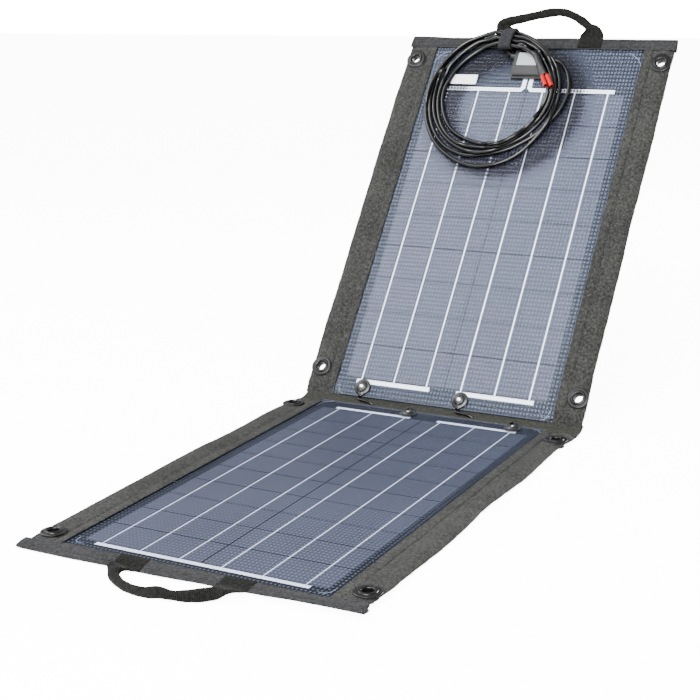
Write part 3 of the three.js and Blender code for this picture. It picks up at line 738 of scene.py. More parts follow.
def side_border(half, side, side_name):
    """padded cloth roll beside the laminate; returns its seam lines"""
    spec = HALVES[half]
    start, stop = spec["cloth"] + 1.6, spec["far"] + 3.0
    lap_y = [4.0, 4.6, 5.2, 5.9, 6.6] if half == "upper" else []
    ys = np.unique(np.concatenate([np.arange(start, stop, 3.4), [stop], lap_y]))
    seed = {"upper": 3, "lower": 17}[half] + (5 if side > 0 else 0)
    ramp = ease(start, start + 17, ys)
    at_eyelet = np.clip(sum(bell(ys, y, 23.0) for y in spec["eyelets"]), 0, 1)
    edge_in = np.interp(ys, EDGE_Y, EDGE_IN[half, side])
    edge_in = np.convolve(np.pad(edge_in, 4, mode="edge"), np.ones(9) / 9, mode="valid")
    seam = 184.6 + waviness(ys, 0.5, 150, seed)
    outer = 214.9 - edge_in + waviness(ys, 0.18, 37, seed + 2) - 0.8 * (1 - ramp)
    # the roll's fullness: flat at the eyelets and the magnet, lower at both ends
    full = ((2.5 + waviness(ys, 0.45, 140, seed + 3)) * (1 - 0.75 * at_eyelet)
            * (1 - 0.45 * bell(ys, spec["magnet"], 26.0)) * (0.35 + 0.65 * ramp))
    full *= 1 - 0.5 * ease(stop - 26, stop, ys)
    if half == "lower" and side < 0:
        full = full + 1.7 * bell(ys, 326.0, 40.0)    # stands up by the magnet
    lift = -5.4 * (1 - ramp)
    if half == "upper":
        lift = lift + np.where(np.abs(ys - 5.2) < 0.9, -0.55, 0.0)    # groove of the lap
    droop = corner_droop(half, side * 205.0, ys)
    # on the right, where the edge stands in, the roll is thinner too
    thin = (1.9 if side > 0 else 0.0) * np.clip(edge_in / 4.0, 0, 1)
    t = np.linspace(0, 1, 7)
    u = np.linspace(0.06, 0.97, 13)
    rings = []
    for i, y in enumerate(ys):
        crease = 0.7 * math.sin(y / 17.0 + seed) * bell(y % 97, 48, 30)
        turned = [(outer[i] + x, z, share) for x, z, share in EDGE_TURN] + FLAP
        xs = np.array([HALF_WIDTH + 0.25 * math.sin(y / 9.0),
                       *(171.3 + (seam[i] - 1.2 - 171.3) * t), seam[i] - 0.4, seam[i] + 0.5,
                       *(seam[i] + 1.0 + (outer[i] - seam[i] - 1.6) * u),
                       *(x for x, _, _ in turned)])
        zs = np.array([0.35, *(0.95 + 0.28 * np.sin(np.pi * t) + 0.1 * math.sin(y / 23.0)),
                       0.05, 0.0,
                       *(0.45 + full[i] * np.sin(np.pi * u) ** 0.75 - 2.3 * ease(0.70, 1.0, u)
                         + crease * np.sin(2 * np.pi * u) * 0.5),
                       *(z + thin[i] * share for _, z, share in turned)])
        top = zs > -3.5
        zs = np.where(top, np.maximum(zs + lift[i], -5.0 + 0.05 * zs), zs)
        if ramp[i] < 0.999:
            # by the fold the inner lap stays under the surface, the outer edge under the roll
            zs[-4:] = np.minimum(zs[-4:], zs[0] - 0.15)
            zs[21:24] = np.minimum(zs[21:24], zs[20])
        drooped = zs + droop[i] * ease(172, 190, xs)
        zs = np.where(top, np.maximum(drooped, -5.3 + 0.04 * zs), zs)
        if half == "lower" and side > 0:
            # the underside follows the corner that curls up
            outwards = ease(197, 207, xs)
            squeeze = 0.62 * outwards * float(ease(480, 620, y))
            curled = -2.6 + droop[i] * outwards - (-2.6 - zs) * (1 - squeeze)
            zs = np.where(~top, curled, zs)
        rings.append(columns(side * xs, y, zs))
    rings = np.array(rings)
    around = arc_length(rings[len(ys) // 2][:, [0, 2]])
    piece = loft(f"{half}_border_{side_name}", [place_all(half, rings)], MAT["fabric"],
                 uv=columns(around, rings[..., 1]) / 1000)

    x, y, z = rings.reshape(-1, 3).T
    x = np.abs(x)
    pinned = (x < 187.5) | (z < -3.4) | (y < start + 14) | (y > stop - 14)
    for eyelet_y in spec["eyelets"]:
        pinned |= np.hypot(x - EYELET_X, y - eyelet_y) < 17.5
    puff(piece, pinned)
    # bump of the magnet under the cloth
    distance = np.hypot(x - 202.0, y - spec["magnet"])
    bump = 1.3 * np.exp(-(distance / 8.5) ** 4) * (z > -2.5)
    set_vertices(piece, vertices(piece.data) + bump[:, None] * NORMAL[half] / 1000)
    for station, eyelet_y in zip(STATIONS, spec["eyelets"]):
        shift_x, _ = eyelet_shift(half, station, side)
        cut_hole(piece, half, side * EYELET_X + shift_x, eyelet_y)
    shade_smooth(piece)
    register(piece, f"{half}_panel",
             f"{half}_side_border" if side < 0 else None)

    keep = (ys > spec["cloth"] + 14) & (ys < spec["far"] - 1)
    return [columns(side * (seam[keep] - 0.1), ys[keep], 0.42),
            columns(side * 173.6, ys[keep], 1.05)]


def stitches(name, half, lines, length=3.0, pitch=4.6, radius=0.42):
    """short thread loops standing on the cloth along lines of (x, y, z)"""
    # share of the stitch's length, share of its radius
    ends, swell = np.array([(-0.5, 0.25), (-0.36, 0.85), (0, 1.0), (0.36, 0.85),
                            (0.5, 0.25)]).T[..., None, None]
    angle = circle(6)[:, None]
    parts = []
    for line in lines:
        line = np.asarray(line, float)
        total = arc_length(line)
        at = np.arange(pitch / 2, total[-1], pitch)
        along = unit(points_at(at + 0.5, total, line) - points_at(at - 0.5, total, line))
        side = unit(np.cross(along, [0, 0, 1.0]))
        up = np.cross(side, along)[:, None, None]
        centre = points_at(at, total, line)[:, None, None]
        along, side = along[:, None, None], side[:, None, None]
        rings = (centre + along * ends * length
                 + (side * np.cos(angle) + up * (np.sin(angle) * 0.8)) * radius * swell
                 + up * (-0.1 - 1.1 * ends ** 2))
        parts += list(place_all(half, rings))
    register(loft(name, parts, MAT["thread"]), f"{half}_panel")


# ------------------------------------------------------------------ hem band and handles
def hem_edges(half, x):
    """top and underside heights of the hem's outer edge"""
    if half == "upper":
        wave = waviness(x, 0.2, 160, 71)
        return 0.5 + wave, -2.5 + wave
    right = ease(-150, 150, x)
    curl = ease(60, 214, x)
    top = -3.9 * (1 - right) + 0.5 * right + 3.4 * curl + waviness(x, 0.2, 150, 73)
    under = -6.75 * (1 - right) - 2.3 * right + 4.2 * curl + 0.15 * np.sin(x / 23.0)
    return top, under


def hem_top(half, x, beyond):
    """height of the hem's upper face, so far beyond the laminate"""
    edge, _ = hem_edges(half, x)
    start = 2.05 + corner_droop(half, x, 625.0) * ease(150, 190, np.abs(x))
    t = np.clip(beyond / HEM, 0, 1)
    return (start + (edge - start) * t ** 1.5 + 0.45 * np.sin(np.pi * t)
            + 0.18 * np.sin(x / 27.0) * np.sin(np.pi * t))


def hem_band(half):
    spec = HALVES[half]
    inner, end = spec["far"] + 0.4, spec["end"]
    lower = half == "lower"
    extra = [-221.4, -220.0] if lower else []
    xs = np.unique(np.concatenate([np.arange(-218, 218, 3.2), [218.0], extra]))
    # distances across the upper face; the third and eighth lie in the stitch grooves
    beyond = np.array([0.5, 2.6, 3.2, 3.9, 7, 10.5, 14.2, 14.9, 15.6, 18.4])
    rings = []
    for x in xs:
        wave = waviness(x, 0.22, 140, 57 if lower else 41) - 1.4 * ease(-214, -221, x)
        if not lower:
            wave += 1.6 * ease(-150, -210, x) - 2.0 * ease(60, 130, x)
        edge = end + wave
        top, under = hem_edges(half, x)
        face = hem_top(half, x, beyond)
        face[2] -= 0.55
        face[7] -= 0.5
        face[0] -= 0.1
        base = UNDERSIDE + (3.6 * ease(120, 214, x) if lower else 0.0)
        slope = [max(UNDERSIDE + (under - UNDERSIDE) * share, base) for share in (0.5, 0.2)]
        # (y, z) over the upper face, round the outer edge and back along the underside
        rings.append([(x, y, z) for y, z in [
            (inner + wave * 0.5, face[0] - 0.7), *zip(inner + beyond, face),
            (edge - 0.7, top + 0.1), (edge, top - 0.45), (edge + 0.05, (top + under) / 2),
            (edge - 0.1, under + 0.35), (edge - 1.4, under), (inner + 13, slope[0]),
            (inner + 6, slope[1]), (inner + 0.8, base), (inner + 0.3, base + 0.35),
            (inner + 0.9, base + 0.7), (inner + 3.0, base + 0.8),
            (inner + 3.6, max(-3.0, base + 1.3)), (inner + 3.2, min(0.9, face[0] - 0.9)),
            (inner + 0.4, min(1.1, face[0] - 1.0))]])
    rings = np.array(rings, float)
    uv = columns(rings[..., 0], arc_length(rings[0, :, 1:])) / 1000
    piece = loft(f"{half}_hem", [place_all(half, rings)], MAT["hem"], uv=uv)
    register(piece, f"{half}_panel", f"{half}_hem_band")
    xs = np.linspace(-215, 215, 110)
    stitches(f"{half}_hem_stitches", half,
             [columns(xs, inner + row, hem_top(half, xs, row) - 0.42) for row in (3.2, 14.9)],
             length=2.9, pitch=4.4, radius=0.36)


# centre line of each handle between its sewn roots, (x, y, z) from left to right
GRIP = {
    "upper": [(-62.5, 636.0, 2.4), (-68.5, 642.5, 3.4), (-68.0, 649.5, 4.4),
              (-57.5, 654.5, 4.9), (-38.0, 659.5, 5.0), (-14.0, 666.0, 5.0), (8.0, 671.0, 5.0),
              (29.0, 671.5, 5.0), (49.0, 664.0, 5.0), (65.0, 654.0, 4.8), (75.5, 645.5, 4.2),
              (81.5, 637.0, 3.0)],
    "lower": [(-70.0, 648.5, -0.6), (-71.8, 655.0, -1.5), (-67.5, 663.5, -2.0),
              (-58.5, 671.5, -2.2), (-44.5, 680.0, -2.3), (-27.0, 685.5, -2.3),
              (-8.0, 686.5, -2.1), (12.0, 684.0, -1.6), (32.0, 679.0, -0.9),
              (48.0, 671.5, 0.0), (59.5, 662.0, 0.6), (65.5, 652.5, 1.2)],
}


def signed_power(values, power):
    return np.sign(values) * np.abs(values) ** power


def handle(half):
    """webbing folded in half along the grip; it opens out flat at both sewn roots"""
    spec = HALVES[half]
    far, end, lower = spec["far"], spec["end"], half == "lower"

    def root(x, rows):
        return [(x, far + row, hem_top(half, x, row) + 0.75) for row in rows]

    left, right = spec["ends"]
    count, corners = 600, 44
    path = spline(root(left, (1.6, 9, 18.5)) + GRIP[half] + root(right, (18.5, 9, 1.6)), count)
    along = tangents(path)
    length = arc_length(path)[:, None]
    x, total = path[:, :1], length[-1]
    to_end = total - length
    loose = np.where(length < to_end, ease(20, 40, length), ease(21, 42, to_end))
    if lower:
        fat = 5.3 + 1.9 * bell(x, 52.0, 20.0) + 0.5 * bell(x, -62.0, 14.0)
    else:
        fat = 8.1 * (1 - length / total) + 5.5 * (length / total)
    fat = fat + waviness(length, 0.35, 70, 23 if lower else 9)
    width = 18.9 * (1 - loose) + fat * loose
    thick = 0.85 * (1 - loose) + fat * (0.98 if lower else 0.8) * loose
    side = unit(columns(along[:, 1], -along[:, 0], 0.0))
    up = np.cross(side, along)
    up *= np.sign(up[:, 2:3])

    angle = circle(corners) + np.pi / corners
    power = 0.5 + 0.42 * loose
    across, above = signed_power(np.cos(angle), power), signed_power(np.sin(angle), power)
    groove = 1 - 0.20 * loose * bell(angle, (0.30 if lower else 0.72) * np.pi, 0.14)
    ribs = np.sin(2 * np.pi * length / 2.2)
    texture = groove * (1 + 0.022 * ribs * (0.35 + 0.65 * loose))
    # the edges of the webbing curl up while it folds
    curl = np.sin(np.pi * np.clip(loose, 0, 1)) * np.abs(across) ** 2.2 * 4.2
    # a lump near the middle of the lower handle
    lump = bell(x, 6.0, 11.0) * (length > 40) * (1.0 if lower else 0.0)
    inner = np.clip(-across * np.sign(side[:, 1:2]), 0, 1)
    sideways = width * across * texture + np.sign(across) * inner * lump * 3.2
    upwards = (thick * above * texture + 0.12 * ribs * np.sign(above) * (1 - loose) + curl
               + 2.6 * lump * np.clip(above, 0, 1) + 0.9 * lump)
    rings = path[:, None] + side[:, None] * sideways[..., None] + up[:, None] * upwards[..., None]
    if lower:
        rings[..., 2] = np.maximum(rings[..., 2], -6.75)
    uv = columns(arc_length(rings[count // 12]), length) / 1000
    piece = loft(f"{half}_carry_handle", [place_all(half, rings)], MAT["webbing"], uv=uv)
    vector(half, spec["grip_x"], end - 1.2, 2)
    vector(half, spec["grip_x"], end + 7.5, 2)
    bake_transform(piece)
    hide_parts(f"{half}_handle")

    # a crossed box of stitches on each root
    lines = []
    for middle in spec["roots"]:
        left, right, near, outer = middle - 15.5, middle + 15.5, 3.6, 17.0
        box = np.array([(left, near), (right, near), (right, outer), (left, outer)])
        for i, j in ((0, 1), (1, 2), (2, 3), (3, 0), (0, 2), (1, 3)):
            x, row = np.linspace(box[i], box[j], 12).T
            lines.append(columns(x, far + row, hem_top(half, middle, row) + 1.58))
    stitches(f"{half}_handle_stitches", half, lines, length=2.4, pitch=3.4, radius=0.36)


# ------------------------------------------------------------------ laminate
def film(half):
    """dimpled front film, closed underneath by one flat clear face"""
    near = HALVES[half]["near"]
    x, y = np.meshgrid(np.linspace(-FILM_WIDTH / 2, FILM_WIDTH / 2, FILM_COLUMNS + 1),
                       np.linspace(near, near + FILM_LENGTH, FILM_ROWS + 1), indexing="ij")
    column, row = np.indices(x.shape)
    dimple = (1 + np.cos(np.pi * column / 2)) * (1 + np.cos(np.pi * row / 2)) / 4
    top = -0.02 - 0.80 * dimple * ease(0, 2.0, y - near)
    top += 0.10 * np.sin(x / 37.0) * np.sin(y / 53.0) * ease(0, 20, y - near)
    count = x.size
    index = np.arange(count).reshape(x.shape)
    faces = grid_quads(index)
    rim = grid_rim(index)
    size = len(rim)
    for i in range(size):
        j = (i + 1) % size
        faces.append((rim[i], count + i, count + j, rim[j]))
    slots = [0] * len(faces) + [1]
    faces.append(tuple(range(count, count + size))[::-1])
    flat = columns(x, y).reshape(-1, 2)
    outline = flat[rim]
    verts = np.vstack([place(half, x, y, top).reshape(-1, 3),
                       place(half, outline[:, 0], outline[:, 1], -1.25)])
    piece = solid(f"{half}_dimpled_film", verts, faces, [MAT["film_" + half], MAT["clear"]],
                  uv=np.vstack([flat, outline]) / 1000, slots=slots)
    register(piece, f"{half}_panel", f"{half}_front_sheet")


def cell_ribbons(half):
    """flat ribbons along the cell rows, mirrored left and right"""
    spec = HALVES[half]
    cell_pitch, bottom, top = 55.0, -1.59, -1.40
    start = spec["grid"] - 6.5
    stop = spec["grid"] + spec["rows"] * cell_pitch + (6.5 if half == "lower" else 7.5)
    wide = 0.95 if half == "upper" else 0.62    # half width
    section = np.array([(-wide, bottom), (-wide, top - 0.05), (-wide * 0.6, top),
                        (wide * 0.6, top), (wide, top - 0.05), (wide, bottom)])
    y = np.linspace(start, stop, int((stop - start) / 20) + 1)[:, None]
    parts = [place(half, side * x + section[:, 0], y, section[:, 1])
             for side in (-1, 1) for x in (27, 79, 131)]
    piece = loft(f"{half}_cell_ribbons", parts, MAT["ribbon_" + half], smooth=False)
    register(piece, f"{half}_panel")


# (x, y) along the backing board's rounded corners on the right: far corner, near corner
BOARD_ARCS = {
    "upper": [[(146.0, 602.9), (152.0, 600.6), (160.3, 595.4), (166.4, 588.4), (170.6, 579.6)],
              [(164.9, 22.4), (162.8, 12.4), (159.6, 8.4), (154.2, 6.2)]],
    "lower": [[(150.0, 608.9), (156.0, 609.4), (160.6, 608.0), (163.8, 602.4), (165.2, 593.4)],
              [(170.2, 45.0), (168.6, 33.0), (163.5, 24.6), (156.0, 21.2)]],
}


def board_rim(half):
    """bright rim of the backing board at its rounded corners"""
    count = 26
    radius = 0.00062 * np.sin(np.linspace(0.3, np.pi - 0.3, count))[:, None] ** 0.5
    up = np.tile(NORMAL[half], (count, 1))
    parts = []
    for arc in BOARD_ARCS[half]:
        for side in (-1, 1):
            curve = place_all(half, spline([(side * x, y, -1.45) for x, y in arc], count))
            across = np.cross(tangents(curve), up)
            parts.append(ellipses(curve, across, up, radius, radius * 0.35, 8))
    piece = loft(f"{half}_board_rim", parts, MAT["edge"])
    register(piece, f"{half}_panel")


def back_cloth(half):
    spec = HALVES[half]
    start, far, edge_x = spec["cloth"], spec["far"], 199.3
    ys = np.unique(np.concatenate([np.arange(start + 1.1, far - 0.5, 4.0), [far + 1.9]]))
    x, y = np.meshgrid(np.linspace(-edge_x, edge_x, 101), ys, indexing="ij")
    wave = 0.30 * np.sin(x / 31 + 0.8 * np.sin(y / 47)) * np.sin(y / 39 + 0.7 * np.sin(x / 53))
    inside = ease(0, 14, edge_x - np.abs(x)) * ease(0, 14, y - start) * ease(0, 14, far - y)
    bottom = -6.75 - 0.25 * (1 - inside) + wave * inside * 0.7
    piece = slab(f"{half}_back_cloth", lambda *point: place(half, *point),
                 x, y, bottom + 0.75, bottom, MAT["back"])
    for eyelet_y in spec["eyelets"]:
        for side in (-1, 1):
            cut_hole(piece, half, side * EYELET_X, eyelet_y)
    shade_smooth(piece)
    register(piece, f"{half}_panel", f"{half}_back_fabric")


# closed profiles, (radius, z)
EYELET = rounded([(6.3, -6.6), (7.0, -6.6), (7.25, 1.2), (13.6, 1.1), (15.7, 1.4), (15.7, 2.1),
                  (14.6, 2.8), (11.6, 2.95), (11.1, 2.9), (10.6, 3.8), (9.5, 4.25),
                  (8.0, 4.2), (6.8, 3.5), (6.3, 2.4)], 0.45)
WASHER = rounded([(6.6, -7.7), (10.6, -7.7), (12.0, -7.2), (12.0, -6.75), (6.6, -6.75)])


def eyelets(half):
    """an eyelet through the border and a washer under it, at each corner of a half"""
    body = f"{half}_panel"
    for station, y in zip(STATIONS, HALVES[half]["eyelets"]):
        for side, side_name in SIDES:
            shift_x, shift_z = eyelet_shift(half, station, side)
            x = side * EYELET_X + shift_x
            lift = shift_z + 0.7 + corner_droop(half, side * EYELET_X, y) * 0.8
            if half == "lower" and station == "near":
                lift = 0.1
            where = f"{station}_{side_name}"
            profile = [(r, max(z + (lift if z > 0 else 0), -6.6)) for r, z in EYELET]
            piece = lathe(f"{half}_snap_eyelet_{where}", half, x, y, profile,
                          MAT["eyelet"], 64)
            register(piece, body, f"{half}_eyelet_{where}")
            piece = lathe(f"{half}_snap_washer_{where}", half, x, y, WASHER + [0, shift_z],
                          MAT["eyelet"], 64)
            if shift_z:
                # tips up with the curled corner
                moved = vertices(piece.data)
                moved[:, 2] += np.clip(0.40 * (moved[:, 0] * 1000 - 199.0), 0, 4.2) / 1000
                set_vertices(piece, moved)
            register(piece, body, f"{half}_eyelet_washer_{where}")


# ------------------------------------------------------------------ terminal covers
# profile: (radius, z); angle: half width of the outlet, radians; back, up: how much further
# and higher it is drawn out; rivet: radius
COVERS = {
    "upper": dict(profile=[(0.01, 0.1), (12.3, 0.1), (12.6, 0.9), (12.0, 1.9), (10.2, 2.5),
                           (8.4, 2.9), (7.3, 4.6), (5.2, 5.7), (4.1, 5.6), (3.8, 5.0),
                           (0.01, 5.0)], angle=0.26, back=1.6, up=1.3, rivet=3.1),
    "lower": dict(profile=[(0.01, 0.1), (12.3, 0.1), (12.5, 0.8), (11.6, 1.25), (8.2, 1.7),
                           (6.9, 3.0), (5.6, 4.1), (4.2, 4.3), (3.6, 3.8), (0.01, 3.8)],
                  angle=0.30, back=1.3, up=1.1, rivet=2.0),
}


def terminal_cover(half, x, y, side_name, reach):
    """a disc with a narrow cable outlet drawn out towards the fold, a rib and a rivet"""
    shape, body = COVERS[half], f"{half}_panel"
    profile = rounded(shape["profile"], 0.45)
    profile = profile[profile[:, 0] > 0.02]
    height = profile[-1, 1]
    radius, z = np.vstack([[0.01, 0.1], profile, [0.01, height]]).T[..., None]
    angle = circle(96)
    from_outlet = np.angle(np.exp(1j * (angle + np.pi / 2)))
    pull = bell(from_outlet, 0, shape["angle"]) * np.clip(radius / 12.5, 0, 1) ** 2
    radius = radius + pull * (reach - 12.5 + shape["back"])
    z = z + pull * np.where(z > 0.5, shape["up"], 0)
    rings = place(half, x + radius * np.cos(angle), y + radius * np.sin(angle), z)
    piece = loft(f"{half}_terminal_cover_{side_name}", [rings], MAT["black"])
    register(piece, body, f"{half}_link_boss_{side_name}")

    rib = spline([(0, -4.0, height), (0, -7.0, height - 0.2), (0, -10, height - 1.4),
                  (0, -reach + 0.4, 2.4)], 16)
    piece = sweep(f"{half}_cover_rib_{side_name}", place_all(half, rib + [x, y, 0]),
                  np.linspace(1.25, 1.6, 16), MAT["black"])
    register(piece, body)

    rivet = shape["rivet"]
    profile = rounded([(0.05, height - 0.5), (rivet, height - 0.5), (rivet, height + 0.4),
                       (rivet - 0.7, height + 0.9), (rivet * 0.4, height + 1.1),
                       (0.05, height + 1.15)], 0.25)
    piece = lathe(f"{half}_cover_rivet_{side_name}", half, x, y, profile, MAT["magnet"], 40,
                  closed=False)
    register(piece, body)


# ------------------------------------------------------------------ fold strip and link leads
# the strip's two ends in the world (y, z) plane, millimetres
CLOTH_Z = -5.6
STRIP_START = world_mm("lower", 0, HALVES["lower"]["cloth"], -6.5)[1:]
STRIP_END = world_mm("upper", 0, HALVES["upper"]["cloth"], -6.5)[1:]
STRIP_LENGTH = float(np.linalg.norm(STRIP_END - STRIP_START))
STRIP_ALONG = (STRIP_END - STRIP_START) / STRIP_LENGTH
STRIP_OUT = np.array([-STRIP_ALONG[1], STRIP_ALONG[0]])


def strip_point(x, along, out):
    """world metres of a point above the strip's chord"""
    return np.array([x, *(STRIP_START + STRIP_ALONG * along + STRIP_OUT * out)]) / 1000


def fold_cloth():
    """the strip under the fold, in two pieces that meet at the middle of its chord"""
    first = world_mm("lower", 0, 22.5, CLOTH_Z)[1:]
    last = world_mm("upper", 0, 8.0, CLOTH_Z)[1:]
    # where the two cloth planes meet
    bend = np.array([FOLD_Y - CLOTH_Z * math.tan(TILT / 2), FACE_Z + CLOTH_Z])
    t = np.linspace(0, 1, 49)[:, None]
    curve = (1 - t) ** 2 * first + 2 * t * (1 - t) * bend + t ** 2 * last
    normal = left_of(tangents(curve))
    middle = (STRIP_START + STRIP_END) / 2
    split = int(np.argmin(np.abs((curve - middle) @ STRIP_ALONG)))
    length = arc_length(curve)
    x = np.linspace(-215, 215, 131)[:, None]

    def half_strip(name, part, start, end):
        along = length[part]
        wave = (0.35 * np.sin(x / 19 + along / 5) * np.sin(along / 9.0)
                + 0.25 * np.sin(x / 47 + 1))

        def to_world(x, _, z):
            yz = curve[part] + normal[part] * z[..., None]
            return columns(x, yz[..., 0], yz[..., 1]) / 1000

        piece = slab(name, to_world, x, along, 0.55 + wave * 0.6, -0.75 + wave * 0.4,
                     MAT["strip"])
        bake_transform(piece)
        return piece

    piece = half_strip("fold_cloth_lower", slice(0, split + 1),
                       place("lower", 0, 20.0, CLOTH_Z), place("lower", 0, 11.5, -5.3))
    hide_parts("fold_strip")
    upper_start = STRIP_END - STRIP_ALONG * 4.5 + [0, 0.5]
    half_strip("fold_cloth_upper", slice(split, None),
               (0, *(upper_start / 1000)), place("upper", 0, 6.2, CLOTH_Z))


# half, side, points (x, y, z) on the half, then points over the strip:
# (x, distance from that half's end of the strip, height above the chord)
LEADS = [
    ("upper", "left", [(-124.2, 7.4, 3.0), (-126.0, 4.8, 1.2)],
     [(-127.6, 4.6, 5.2), (-123, 8.5, 4.8), (-114, 10.2, 4.6), (-105, 11, 3.0),
      (-100, 11.2, 0.4)]),
    ("upper", "right", [(31.0, 6.6, 3.0), (29.0, 4.4, 1.2)],
     [(27.6, 4.4, 5.0), (33, 8, 4.8), (43, 9.4, 4.6), (53, 10, 3.0), (58, 10.2, 0.4)]),
    ("lower", "left", [(-29.6, 21.4, 2.6), (-31, 17.5, 1.6)],
     [(-34, 5.2, 5.0), (-38, 9.0, 4.2), (-42, 10.6, 1.6), (-43.5, 11, 0.0)]),
    ("lower", "right", [(128.6, 21.6, 2.6), (127, 17.5, 1.6)],
     [(124, 5.2, 5.0), (120, 9.0, 4.2), (116, 10.6, 1.6), (114.5, 11, 0.0)]),
]


def link_leads():
    """leads that leave the covers and dive into the fold strip"""
    for half, side_name, on_half, on_strip in LEADS:
        upper = half == "upper"
        points = [place(half, *point) for point in on_half]
        points += [strip_point(x, STRIP_LENGTH - along if upper else along, out)
                   for x, along, out in on_strip]
        piece = sweep(f"link_lead_{half}_{side_name}", spline(points, 44), 1.75, MAT["cable"])
        if upper:
            tuple(strip_point(0, STRIP_LENGTH - 4.0, 3.0))
            tuple(place("upper", 0, 5.6, 0.5))
            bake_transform(piece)
            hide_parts(f"link_cable_{side_name}")
        else:
            tuple(place("lower", 0, 19.5, 1.5))
            tuple(strip_point(0, 5.0, 4.0))
            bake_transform(piece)


# ------------------------------------------------------------------ coiled cable
# centre line of the cable on the upper half, (x, y, z): out of the junction box,
# the five loops, then over the top to the boot
COIL_START = [(-36.0, 589.6, 7.4), (-41.5, 592.6, 7.6), (-47.0, 600.5, 9.0), (-50.0, 609.0, 11.0)]
